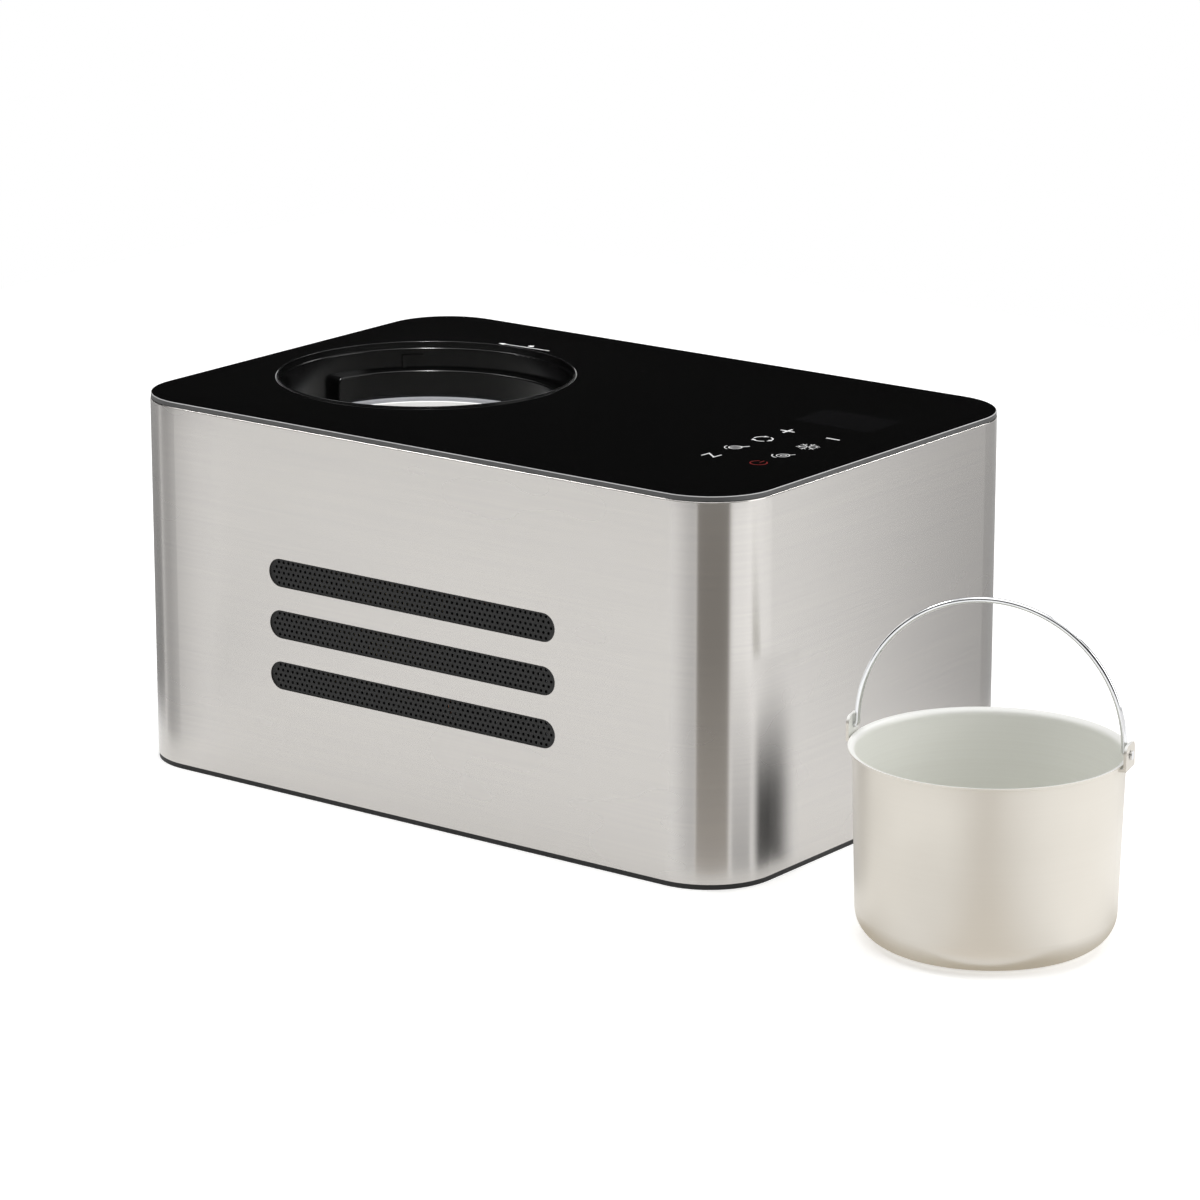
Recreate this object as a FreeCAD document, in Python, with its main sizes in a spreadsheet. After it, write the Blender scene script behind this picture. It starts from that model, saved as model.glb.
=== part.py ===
import FreeCAD, Part
import Sketcher
import math
import os
import re

# Countertop ice cream maker with a built-in compressor, and its removable bowl beside it.
# Millimetres. The origin is the middle of the base's underside, +X points to the touch keys,
# -Y is the front with the vents, +Z is up.

SIZES = (
    # Housing
    ("body_length", 425.0, "steel sleeve outside, along X"),
    ("body_width", 284.0, "steel sleeve outside, along Y"),
    ("corner_radius", 40.0, "upright corners of the sleeve"),
    ("steel_wall", 0.8, "sheet of the sleeve"),
    ("base_reveal", 2.9, "black base line under the sleeve"),
    ("sleeve_height", 209.85, "sleeve from lower edge to hem"),
    ("hem_width", 7.0, "hem folded inwards at the sleeve's top"),
    ("hem_round", 0.8, "outer edge of the hem's fold"),
    ("fit_gap", 0.2, "play between pieces that slip together"),
    ("thread_gap", 0.05, "play around screws, pins and tubes"),
    ("glass_thickness", 2.7, "black glass top"),
    ("glass_bond", 0.2, "adhesive line under the glass"),
    ("glass_inset", 0.3, "glass inside the steel's edge"),
    ("glass_edge", 0.6, "ground edge of the glass"),
    ("tray_floor", 3.4, "floor of the base tray"),
    ("tray_wall", 2.2, "wall of the base tray"),
    ("tray_rim", 16.0, "top of the base tray's wall"),
    ("tray_inset", 0.3, "base line behind the steel"),
    ("pad_radius", 13.0, "rubber pads in the base"),
    ("pad_depth", 1.6, "thickness of the rubber pads"),
    ("pad_end_inset", 47.5, "pad centre from the end"),
    ("pad_side_inset", 42.0, "pad centre from the side"),
    ("post_radius", 5.0, "tie posts between base and top frame"),
    ("post_end_inset", 15.5, "post centre from the end"),
    ("post_side_inset", 34.0, "post centre from the side"),
    ("screw_radius", 2.0, "base, frame and fan screws"),
    ("screw_head", 4.0, "radius of those screws' heads"),
    ("screw_grip", 12.0, "thread length in a post"),
    # Vents
    ("slot_length", 202.2, "vent slots in the sleeve"),
    ("slot_height", 16.2, "height of one slot"),
    ("slot_pitch", 29.8, "from slot to slot"),
    ("slot_middle_x", -2.1, "middle of the slots"),
    ("slot_low_z", 69.4, "centre line of the lowest slot"),
    ("mesh_pitch", 3.5, "perforation, hole to hole"),
    ("mesh_hole", 0.9, "radius of the perforations"),
    ("mesh_thickness", 1.2, "grille strips"),
    ("mesh_border", 5.0, "grille strip past its slot"),
    ("louvre_pitch", 9.0, "windows of the rear grille"),
    ("louvre_bar", 3.0, "bars of the rear grille"),
    # Top frame and collar
    ("frame_skirt", 17.0, "skirt of the top frame below its deck"),
    ("frame_wall", 2.0, "wall of that skirt"),
    ("deck_thickness", 6.0, "deck of the top frame"),
    ("well_end_inset", 107.5, "axis of the cold well from the end"),
    ("opening_radius", 86.4, "hole in the glass"),
    ("collar_radius", 84.2, "upper wall of the collar, inside"),
    ("collar_wall", 2.3, "wall of the collar"),
    ("collar_flange", 3.0, "flange of the collar under the glass"),
    ("collar_flange_radius", 94.0, "outside of that flange"),
    ("ledge_drop", 12.35, "bayonet ledge below the glass"),
    ("skirt_radius", 78.0, "collar wall below the ledge, inside"),
    ("collar_floor", 1.6, "floor of the collar's recesses"),
    ("recess_angle", 64.5, "each of the collar's two recesses"),
    ("recess_start", -9.5, "where the first recess starts"),
    ("stop_angle", 137.5, "lid stop on the collar's upper wall"),
    ("stop_height", 8.4, "height of the lid stop"),
    ("stop_depth", 1.8, "how far the stop stands out"),
    ("stop_width_angle", 1.6, "width of the stop about the axis"),
    ("track_angle", 7.0, "raised track beside the stop"),
    ("pilot_depth", 10.0, "blind holes for the chamber's screws"),
    ("collar_round", 1.0, "rounded edges of the collar"),
    ("rim_rise", 0.95, "collar's rim above the glass"),
    ("rim_wall", 0.9, "wall of that rim"),
    ("rim_round", 0.4, "rounded top of that rim"),
    ("recess_round", 3.5, "rounded top corners of the recesses"),
    # Cold well
    ("bowl_play", 0.8, "chamber around the bowl's wall"),
    ("chamber_wall", 1.5, "wall of the chamber"),
    ("collar_depth", 29.95, "chamber's rim below the glass"),
    ("bowl_proud", 1.3, "bowl above the chamber's rim when it is in"),
    ("chamber_round", 16.0, "rounded foot of the chamber"),
    ("chamber_flange", 84.0, "radius of the chamber's flange"),
    ("seal_wall", 4.6, "width of the grey seal"),
    ("chamber_screw", 1.5, "radius of the chamber's screws"),
    ("coil_passes", 6, "turns of the evaporator"),
    ("coil_pitch", 14.0, "from turn to turn"),
    ("coil_rise", 14.0, "lowest turn above the chamber's floor"),
    ("coil_gap_angle", 22.0, "half of the coil's open sector"),
    ("foam_bore", 80.2, "inside of the foam jacket"),
    ("foam_wall", 22.6, "wall of the foam jacket"),
    ("foam_floor", 32.0, "foam under the chamber"),
    ("foam_top_gap", 5.0, "foam below the chamber's rim"),
    ("stand_radius", 90.0, "plastic ring that carries the foam"),
    ("stand_wall", 4.0, "wall of that ring"),
    ("stand_window", 40.0, "windows in that ring"),
    ("sensor_radius", 2.5, "temperature sensor on the chamber"),
    ("sensor_length", 30.0, "its length"),
    # Compressor
    ("compressor_end_inset", 77.5, "axis of the compressor from the end"),
    ("compressor_side_inset", 80.0, "axis of the compressor from the back"),
    ("compressor_radius", 50.0, "its shell"),
    ("compressor_wall", 2.5, "wall of the shell"),
    ("can_headroom", 64.7, "top of the can below the deck"),
    ("compressor_seam", 63.0, "weld seam above the can's foot"),
    ("seam_lip", 2.0, "lip at the seam"),
    ("can_foot_round", 14.0, "rounded foot of the can"),
    ("can_top_round", 20.0, "rounded top of the can"),
    ("boss_radius", 8.0, "bosses in the tray under the compressor"),
    ("boss_top", 8.0, "their top"),
    ("grommet_radius", 10.0, "rubber grommets"),
    ("grommet_foot", 6.0, "grommet below the plate"),
    ("grommet_neck", 6.0, "radius of the grommet in the plate"),
    ("plate_thickness", 3.0, "compressor's base plate"),
    ("plate_reach_x", 56.0, "grommets from the axis"),
    ("plate_reach_y", 28.0, "grommets from the axis"),
    ("plate_margin", 11.0, "plate past its grommets"),
    ("bolt_radius", 3.0, "compressor bolts"),
    ("bolt_head", 6.0, "their heads"),
    ("terminal_width", 40.0, "terminal cover along Y"),
    ("terminal_reach", 23.0, "terminal cover past the shell"),
    ("terminal_low", 42.0, "terminal cover above the can's foot"),
    ("terminal_height", 36.0, "terminal cover"),
    # Cooling circuit
    ("tube_radius", 3.0, "refrigerant tubes"),
    ("tube_wall", 0.7, "their wall"),
    ("tube_bend", 10.0, "bends of the free tubes"),
    ("capillary_radius", 1.2, "capillary tube"),
    ("capillary_bore", 0.4, "its bore"),
    ("well_tube_y", 18.0, "tubes that leave the well"),
    ("port_reach", 14.0, "tube ports on the can from its axis"),
    ("capillary_rise", 8.0, "highest run of the capillary above the can"),
    ("condenser_gap", 21.8, "left end plate from the partition"),
    ("condenser_end_inset", 56.5, "right end plate from the end"),
    ("condenser_front_gap", 9.0, "front edge of the fins from the front"),
    ("condenser_depth", 44.0, "fins along Y"),
    ("condenser_row_gap", 22.0, "between the two rows of tubes"),
    ("condenser_headroom", 76.7, "highest pass below the deck"),
    ("condenser_passes", 5, "passes in a row"),
    ("condenser_low_z", 30.0, "lowest pass"),
    ("stub_length", 15.0, "tube stubs past the right end plate"),
    ("fin_pitch", 5.0, "from fin to fin"),
    ("fin_thickness", 0.4, "one fin"),
    ("fin_margin", 12.0, "fins past the outer tubes"),
    ("plate_overlap", 2.0, "end plates past the fins"),
    ("sheet_steel", 1.2, "end plates, partition and clip"),
    ("drier_end_inset", 24.5, "filter drier from the end"),
    ("drier_z", 60.0, "its axis"),
    ("drier_radius", 9.0, "its can"),
    ("drier_front_gap", 38.0, "its front end from the front"),
    ("drier_back_gap", 38.0, "its back end from the well's tubes"),
    ("drier_cone", 9.0, "each cone"),
    ("clip_width", 12.0, "clip that holds the drier"),
    # Fan
    ("fan_border", 2.5, "shroud past the fan's square frame"),
    ("fan_depth", 25.0, "depth of the frame"),
    ("fan_rim", 2.5, "frame around the air opening"),
    ("fan_hole_inset", 7.0, "screws from the frame's edges"),
    ("fan_hub", 20.0, "rotor cup"),
    ("fan_tip_gap", 1.5, "blade tip to frame"),
    ("fan_blades", 7, "blades"),
    ("blade_angle", 38.0, "pitch of a blade"),
    ("blade_thickness", 2.0, "one blade"),
    ("blade_chord", 22.0, "width of a blade"),
    ("shaft_radius", 2.0, "fan shaft"),
    ("bearing_radius", 5.0, "bearing tube"),
    ("spoke", 4.0, "spokes of the frame"),
    ("shroud_thickness", 2.0, "plate between condenser and fan"),
    # Electrics
    ("partition_gap", 4.2, "partition from the foam"),
    ("partition_front_gap", 42.0, "its front edge from the front"),
    ("partition_back_gap", 6.0, "its back edge from the back"),
    ("partition_headroom", 18.7, "its top below the deck"),
    ("partition_foot", 14.0, "its flange on the tray"),
    ("board_thickness", 1.6, "circuit boards"),
    ("standoff", 6.0, "power board off the partition"),
    ("power_back_gap", 28.0, "power board's far edge from the back"),
    ("power_width", 75.0, "power board along Y"),
    ("power_z", 30.0, "power board's lower edge"),
    ("power_height", 80.0, "power board upwards"),
    ("board_margin", 5.0, "board fixings from the edge"),
    ("transformer_width", 30.0, "transformer along Y"),
    ("transformer_height", 27.0, "transformer upwards"),
    ("transformer_depth", 24.0, "transformer off its board"),
    ("relay_width", 14.0, "relay along Y"),
    ("relay_height", 16.0, "relay upwards"),
    ("relay_depth", 15.0, "relay off its board"),
    ("capacitor_radius", 6.0, "capacitors"),
    ("capacitor_length", 18.0, "capacitors"),
    ("connector_size", 10.0, "lead connectors"),
    ("inlet_reach", 75.0, "mains inlet from the compressor's axis"),
    ("inlet_z", 42.0, "its centre"),
    ("inlet_width", 27.0, "its body"),
    ("inlet_height", 19.5, "its body"),
    ("inlet_depth", 23.0, "its body behind the flange"),
    ("inlet_flange", 2.5, "flange outside the steel"),
    ("inlet_lip", 2.4, "flange past the body"),
    ("inlet_wall", 1.3, "wall of the socket"),
    ("pin_width", 2.0, "inlet blades"),
    ("pin_height", 4.0, "inlet blades"),
    ("pin_length", 16.0, "inlet blades"),
    ("pin_spread", 7.0, "outer blades from the middle"),
    ("pin_drop", 1.5, "outer blades below the middle"),
    ("earth_rise", 3.5, "earth blade above the middle"),
    ("wire_radius", 2.2, "leads of the harness"),
    ("lead_bend", 8.0, "bends of the leads"),
    ("lead_headroom", 19.7, "lead to the touch board below the deck"),
    ("key_row_gap", 30.5, "between the two rows of touch keys"),
    ("key_end_inset", 40.5, "outer row of touch keys from the end"),
    ("key_low_y", -58.4, "first key"),
    ("key_pitch", 23.4, "from key to key"),
    ("key_count", 4, "keys in a row"),
    ("spring_radius", 4.0, "touch springs"),
    ("spring_wall", 0.8, "touch springs"),
    ("touch_gap", 11.0, "board to glass"),
    ("window_margin", 12.0, "window in the deck past the keys"),
    ("touch_margin", 10.0, "touch board past the window"),
    ("display_length", 32.0, "display along Y"),
    ("display_width", 50.0, "display along X"),
    ("display_y", 51.5, "display centre"),
    ("display_inset", 17.25, "display centre from the outer row of keys"),
    ("display_play", 2.0, "window around the display"),
    ("small_screw", 1.4, "touch board screws"),
    # Bowl
    ("bowl_x", 353.5, "bowl beside the machine"),
    ("bowl_y", -107.0, "bowl beside the machine"),
    ("bowl_height", 102.3, "to the rim"),
    ("bowl_rim_radius", 72.4, "rim outside"),
    ("bowl_top_radius", 70.2, "wall below the rim"),
    ("bowl_foot_radius", 67.4, "wall at the foot"),
    ("bowl_wall", 1.5, "sheet of the bowl"),
    ("bowl_round", 16.6, "rounded foot"),
    ("rim_flare", 3.5, "inner curve of the rim"),
    ("rim_edge", 0.6, "rounded edge of the rim"),
    ("bail_turn", 15.8, "ears about the bowl's axis, from +X"),
    ("ear_radius", 74.0, "middle of an ear from the axis"),
    ("ear_sheet", 1.5, "sheet of the ears"),
    ("ear_width", 16.0, "along the rim"),
    ("ear_height", 11.6, "above the rim's underside"),
    ("ear_corner", 4.0, "rounded corners"),
    ("ear_foot", 3.4, "foot under the rim"),
    ("weld_gap", 0.1, "braze under the rim"),
    ("pivot_rise", 4.0, "bail axis above the rim"),
    ("bail_wire_radius", 1.5, "bail wire"),
    ("bail_half_span", 71.2, "legs from the bowl's axis"),
    ("bail_height", 73.8, "top of the bail above its axis"),
    ("bail_bend", 2.3, "bend at each end"),
    ("rivet_radius", 2.4, "peened end of the wire"),
    ("rivet_height", 1.0, "peened end of the wire"),
)

doc = FreeCAD.newDocument("ice_cream_maker")
sheet = doc.addObject("Spreadsheet::Sheet", "Sizes")
for row, (alias, number, meaning) in enumerate(SIZES, start=1):
    sheet.set(f"A{row}", meaning)
    sheet.set(f"B{row}", str(number))
    sheet.setAlias(f"B{row}", alias)
doc.recompute()

ALIASES = {alias for alias, number, meaning in SIZES}
Vector = FreeCAD.Vector
UP = Vector(0, 0, 1)
TURN = {
    "x": FreeCAD.Rotation(Vector(0, 1, 0), 90),
    "y": FreeCAD.Rotation(Vector(1, 0, 0), -90),
    "z": FreeCAD.Rotation(),
}
SIGNS = [(a, b) for a in ("-", "") for b in ("-", "")]

# Levels and places that follow from the sheet, each a formula of sizes and earlier names
DERIVED = {
    "sleeve_top": "base_reveal + sleeve_height",
    "glass_under": "sleeve_top + glass_bond",
    "hem_under": "sleeve_top - steel_wall",
    "deck_under": "glass_under - deck_thickness",
    "slip": "steel_wall + fit_gap",
    "screw_hole": "screw_radius + thread_gap",
    "pad_x": "body_length / 2 - pad_end_inset",
    "pad_y": "body_width / 2 - pad_side_inset",
    "post_x": "body_length / 2 - post_end_inset",
    "post_y": "body_width / 2 - post_side_inset",
    "well_x": "well_end_inset - body_length / 2",
    "ledge": "glass_under - ledge_drop",
    "chamber_rim": "glass_under - collar_depth",
    "chamber_depth": "bowl_height - bowl_proud",
    "chamber_floor": "chamber_rim - chamber_depth",
    "chamber_radius": "bowl_top_radius + bowl_play",
    "chamber_outside": "chamber_radius + chamber_wall",
    "coil_low_z": "chamber_floor + coil_rise",
    "coil_top": "coil_low_z + coil_pitch * (coil_passes - 1)",
    "foam_level": "chamber_floor - chamber_wall - fit_gap",
    "foam_foot": "foam_level - foam_floor",
    "partition_x": "well_x + foam_bore + foam_wall + partition_gap",
    "partition_face": "partition_x + sheet_steel",
    "partition_front": "partition_front_gap - body_width / 2",
    "partition_back": "body_width / 2 - partition_back_gap",
    "partition_top": "deck_under - partition_headroom",
    "compressor_x": "body_length / 2 - compressor_end_inset",
    "compressor_y": "body_width / 2 - compressor_side_inset",
    "plate_under": "boss_top + grommet_foot",
    "can_foot": "plate_under + plate_thickness",
    "can_seam": "can_foot + compressor_seam",
    "can_top": "deck_under - can_headroom",
    "terminal_face": "compressor_x - compressor_radius - terminal_reach",
    "condenser_x": "partition_face + condenser_gap",
    "condenser_end": "body_length / 2 - condenser_end_inset",
    "condenser_front": "condenser_front_gap - body_width / 2",
    "top_pass": "deck_under - condenser_headroom",
    "condenser_pitch": "(top_pass - condenser_low_z) / (condenser_passes - 1)",
    "fin_low": "condenser_low_z - fin_margin",
    "fin_high": "top_pass + fin_margin",
    "stub_x": "condenser_end + stub_length",
    "front_row_y": "condenser_front + condenser_depth / 2 - condenser_row_gap / 2",
    "rear_row_y": "front_row_y + condenser_row_gap",
    "drier_x": "body_length / 2 - drier_end_inset",
    "drier_front": "drier_front_gap - body_width / 2",
    "drier_back": "well_tube_y - drier_back_gap",
    "shroud_front": "condenser_front + condenser_depth + plate_overlap",
    "fan_front": "shroud_front + shroud_thickness",
    "fan_back": "fan_front + fan_depth",
    "fan_x": "(condenser_x + condenser_end) / 2",
    "fan_z": "(fin_low + fin_high) / 2",
    "fan_size": "min(fin_high - fin_low; condenser_end - condenser_x) - fan_border * 2",
    "fan_bore": "fan_size / 2 - fan_rim",
    "fan_hole_reach": "fan_size / 2 - fan_hole_inset",
    "power_face": "partition_face + standoff + board_thickness",
    "power_y": "body_width / 2 - power_back_gap - power_width",
    "inlet_x": "compressor_x - inlet_reach",
    "touch_top": "glass_under - touch_gap",
    "key_right_x": "body_length / 2 - key_end_inset",
    "key_left_x": "key_right_x - key_row_gap",
    "display_x": "key_right_x - display_inset",
    "window_left": "key_left_x - window_margin",
    "window_right": "key_right_x + window_margin",
    "window_front": "key_low_y - window_margin",
    "window_back": "display_y + display_length / 2 + display_play",
    "pivot": "bowl_height + pivot_rise",
    "ear_inside": "ear_radius - ear_sheet / 2",
    "ear_outside": "ear_radius + ear_sheet / 2",
    "rim_under": "bowl_height - bowl_wall",
}


def bound(formula):
    """Formula of sizes and derived names, as an expression that reads the sheet."""
    def qualify(match):
        word = match.group()
        if word in DERIVED:
            return f"({bound(DERIVED[word])})"
        return f"Sizes.{word}" if word in ALIASES else word
    return re.sub(r"[a-z][a-z_0-9]*", qualify, formula)


def value(formula):
    """Number that a formula of the sheet gives now."""
    return float(sheet.evalExpression(bound(formula)))


def place(item, x="0", y="0", z="0"):
    """Bind an object's position to formulas."""
    for letter, formula in zip("xyz", (x, y, z)):
        item.setExpression(f"Placement.Base.{letter}", bound(formula))


def block(name, low, high):
    """Box between two corners, each three formulas."""
    item = doc.addObject("Part::Box", name)
    for side, start, end in zip(("Length", "Width", "Height"), low, high):
        item.setExpression(side, bound(f"({end}) - ({start})"))
    place(item, *low)
    return item


def rod(name, radius, start, length, axis="z"):
    """Cylinder from a start point along an axis."""
    item = doc.addObject("Part::Cylinder", name)
    item.Placement = FreeCAD.Placement(Vector(), TURN[axis])
    item.setExpression("Radius", bound(radius))
    item.setExpression("Height", bound(length))
    place(item, *start)
    return item


def wedge(name, radius, angle, start, low, high):
    """Slice of a cylinder about the well's axis, from a start angle, between two levels."""
    item = rod(name, radius, ("well_x", "0", low), f"({high}) - ({low})")
    item.Placement = FreeCAD.Placement(item.Placement.Base, FreeCAD.Rotation(UP, value(start)))
    item.setExpression("Angle", bound(angle))
    place(item, "well_x", "0", low)
    return item


def cone(name, first, second, start, length, axis="z"):
    """Cone from a start point along an axis, with its two radii."""
    item = doc.addObject("Part::Cone", name)
    item.Placement = FreeCAD.Placement(Vector(), TURN[axis])
    item.setExpression("Radius1", bound(first))
    item.setExpression("Radius2", bound(second))
    item.setExpression("Height", bound(length))
    place(item, *start)
    return item


def group(name, *pieces):
    """Separate solids kept together in one object."""
    item = doc.addObject("Part::Compound", name)
    item.Links = list(pieces)
    return item


def fuse(name, *pieces):
    """One solid of several."""
    item = doc.addObject("Part::MultiFuse", name)
    item.Shapes = list(pieces)
    return item


def cut(name, base, *tools):
    """A base less one or more tools."""
    item = doc.addObject("Part::Cut", name)
    item.Base = base
    item.Tool = tools[0] if len(tools) == 1 else group(f"{name}_tools", *tools)
    return item


def feature(name, shape):
    """Object that holds a shape made from the sheet's values."""
    item = doc.addObject("Part::Feature", name)
    item.Shape = shape
    return item


def sketch_on(body, name, plane, height="0"):
    """Sketch on one of a body's own planes, lifted along the plane's normal."""
    sketch = body.newObject("Sketcher::SketchObject", name)
    support = next(item for item in body.Origin.OriginFeatures if item.Role == plane)
    sketch.AttachmentSupport = [(support, "")]
    sketch.MapMode = "FlatFace"
    sketch.setExpression("AttachmentOffset.Base.z", bound(height))
    return sketch


def dimension(sketch, kind, *places, formula):
    """Constraint whose value is bound to the sheet."""
    index = sketch.addConstraint(Sketcher.Constraint(kind, *places, value(formula)))
    sketch.setExpression(f"Constraints[{index}]", bound(formula))


def rounded_rectangle(sketch, length, width, radius):
    """Rounded rectangle about the sketch's origin."""
    half_x = value(length) / 2
    half_y = value(width) / 2
    corner = value(radius)
    inner_x = half_x - corner
    inner_y = half_y - corner
    sides = (
        ((-inner_x, -half_y), (inner_x, -half_y), (inner_x, -inner_y)),
        ((half_x, -inner_y), (half_x, inner_y), (inner_x, inner_y)),
        ((inner_x, half_y), (-inner_x, half_y), (-inner_x, inner_y)),
        ((-half_x, inner_y), (-half_x, -inner_y), (-inner_x, -inner_y)),
    )
    for turn, (start, end, centre) in enumerate(sides):
        begin = (turn - 1) * math.pi / 2
        circle_line = Part.Circle(Vector(*centre, 0), UP, corner)
        sketch.addGeometry(Part.LineSegment(Vector(*start, 0), Vector(*end, 0)))
        sketch.addGeometry(Part.ArcOfCircle(circle_line, begin, begin + math.pi / 2))
    for index in range(8):
        sketch.addConstraint(Sketcher.Constraint("Tangent", index, 2, (index + 1) % 8, 1))
    for level, upright, arc in ((0, 2, 3), (4, 6, 5)):
        sketch.addConstraint(Sketcher.Constraint("Horizontal", level))
        sketch.addConstraint(Sketcher.Constraint("Vertical", upright))
        sketch.addConstraint(Sketcher.Constraint("Equal", 1, arc))
    sketch.addConstraint(Sketcher.Constraint("Equal", 1, 7))
    dimension(sketch, "Radius", 1, formula=radius)
    dimension(sketch, "DistanceX", -1, 1, 2, 1, formula=f"({length}) / 2")
    dimension(sketch, "DistanceX", 6, 1, -1, 1, formula=f"({length}) / 2")
    dimension(sketch, "DistanceY", -1, 1, 4, 1, formula=f"({width}) / 2")
    dimension(sketch, "DistanceY", 0, 1, -1, 1, formula=f"({width}) / 2")


def inset_outline(sketch, inset):
    """Outline of the housing, drawn in from the steel's outside by an inset."""
    rounded_rectangle(sketch, f"body_length - 2 * ({inset})", f"body_width - 2 * ({inset})",
                      f"corner_radius - ({inset})")


def circle(sketch, x, y, radius):
    """Circle with its centre and radius bound."""
    line = Part.Circle(Vector(value(x), value(y), 0), UP, value(radius))
    index = sketch.addGeometry(line)
    dimension(sketch, "Radius", index, formula=radius)
    dimension(sketch, "DistanceX", -1, 1, index, 3, formula=x)
    dimension(sketch, "DistanceY", -1, 1, index, 3, formula=y)


def polygon(sketch, points):
    """Closed outline of straight lines, each corner bound to two formulas."""
    corners = [Vector(value(x), value(y), 0) for x, y in points]
    first = len(sketch.Geometry)
    count = len(corners)
    for index, corner in enumerate(corners):
        sketch.addGeometry(Part.LineSegment(corner, corners[(index + 1) % count]))
    for index, (x, y) in enumerate(points):
        before = first + (index - 1) % count
        sketch.addConstraint(Sketcher.Constraint("Coincident", before, 2, first + index, 1))
        dimension(sketch, "DistanceX", -1, 1, first + index, 1, formula=x)
        dimension(sketch, "DistanceY", -1, 1, first + index, 1, formula=y)


def rectangle(sketch, low, high):
    """Upright rectangle between two corners."""
    polygon(sketch, (low, (high[0], low[1]), high, (low[0], high[1])))


def stadium(sketch, x, y, length, height):
    """Slot with round ends, lying along the sketch's first axis."""
    reach = f"(({length}) - ({height})) / 2"
    radius = value(f"({height}) / 2")
    right = Vector(value(f"({x}) + {reach}"), value(y), 0)
    left = Vector(value(f"({x}) - {reach}"), value(y), 0)
    lift = Vector(0, radius, 0)
    first = sketch.addGeometry(Part.LineSegment(left - lift, right - lift))
    quarter = math.pi / 2
    sketch.addGeometry(Part.ArcOfCircle(Part.Circle(right, UP, radius), -quarter, quarter))
    sketch.addGeometry(Part.LineSegment(right + lift, left + lift))
    sketch.addGeometry(Part.ArcOfCircle(Part.Circle(left, UP, radius), quarter, 3 * quarter))
    for index in range(4):
        link = ("Tangent", first + index, 2, first + (index + 1) % 4, 1)
        sketch.addConstraint(Sketcher.Constraint(*link))
    sketch.addConstraint(Sketcher.Constraint("Equal", first + 1, first + 3))
    dimension(sketch, "Radius", first + 1, formula=f"({height}) / 2")
    dimension(sketch, "DistanceX", -1, 1, first + 1, 3, formula=f"({x}) + {reach}")
    dimension(sketch, "DistanceY", -1, 1, first + 1, 3, formula=y)
    dimension(sketch, "DistanceX", -1, 1, first + 3, 3, formula=f"({x}) - {reach}")
    dimension(sketch, "DistanceY", -1, 1, first + 3, 3, formula=y)


def pad(body, sketch, length, midplane=False):
    """Pad along the sketch's normal."""
    item = body.newObject("PartDesign::Pad", f"{sketch.Name}_pad")
    item.Profile = sketch
    item.setExpression("Length", bound(length))
    item.Midplane = midplane
    sketch.Visibility = False
    return item


def pocket(body, sketch, length, along_normal=False):
    """Pocket against the sketch's normal, or along it. Stops if it cuts nothing."""
    doc.recompute()
    before = body.Shape.Volume
    item = body.newObject("PartDesign::Pocket", f"{sketch.Name}_pocket")
    item.Profile = sketch
    item.setExpression("Length", bound(length))
    item.Reversed = along_normal
    doc.recompute()
    if body.Shape.Volume > before - 1e-3:
        raise RuntimeError(f"{item.Name} cuts nothing")
    return item


def revolve(body, name, points):
    """Solid of revolution about the body's Z axis, from radius and height pairs."""
    sketch = sketch_on(body, name, "XZ_Plane")
    polygon(sketch, points)
    item = body.newObject("PartDesign::Revolution", f"{name}_turned")
    item.Profile = sketch
    item.ReferenceAxis = (sketch, ["V_Axis"])
    item.Angle = 360
    doc.recompute()
    return item


def round_edges(body, name, radius, test):
    """Fillet on the edges of the body's tip that a test picks."""
    doc.recompute()
    tip = body.Tip
    picked = [f"Edge{n}" for n, edge in enumerate(tip.Shape.Edges, start=1) if test(edge)]
    item = body.newObject("PartDesign::Fillet", name)
    item.Base = (tip, picked)
    item.setExpression("Radius", bound(radius))
    doc.recompute()
    return item


def ring_at(radius, height):
    """Test for a round edge of this radius at this height."""
    want_radius = value(radius)
    want_height = value(height)

    def test(edge):
        line = edge.Curve
        if line.TypeId != "Part::GeomCircle":
            return False
        same = abs(line.Radius - want_radius) < 1e-4
        return same and abs(line.Center.z - want_height) < 1e-4
    return test


def level_at(height):
    """Test for an edge that lies at this height all along."""
    want = value(height)

    def test(edge):
        box = edge.BoundBox
        return abs(box.ZMin - want) < 1e-4 and abs(box.ZMax - want) < 1e-4
    return test


def outer_edge_at(height):
    """Test for the housing's outer edge at this height."""
    level = level_at(height)
    straight_x = value("body_length / 2 - corner_radius")
    straight_y = value("body_width / 2 - corner_radius")
    radius = value("corner_radius")

    def test(edge):
        if not level(edge):
            return False
        middle = edge.valueAt((edge.FirstParameter + edge.LastParameter) / 2)
        past_x = max(abs(middle.x) - straight_x, 0.0)
        past_y = max(abs(middle.y) - straight_y, 0.0)
        return abs(math.hypot(past_x, past_y) - radius) < 1e-3
    return test


def bent_path(points, bend):
    """Wire of straight runs with tangent arcs of one radius at the corners."""
    edges = []
    start = points[0]
    for before, corner, after in zip(points, points[1:], points[2:]):
        arriving = (corner - before).normalize()
        leaving = (after - corner).normalize()
        half_turn = arriving.getAngle(leaving) / 2
        trim = bend * math.tan(half_turn)
        inwards = (leaving - arriving).normalize()
        first = corner - arriving * trim
        last = corner + leaving * trim
        middle = corner + inwards * (bend / math.cos(half_turn) - bend)
        edges.append(Part.makeLine(start, first))
        edges.append(Part.Arc(first, middle, last).toShape())
        start = last
    edges.append(Part.makeLine(start, points[-1]))
    return Part.Wire(edges)


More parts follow.
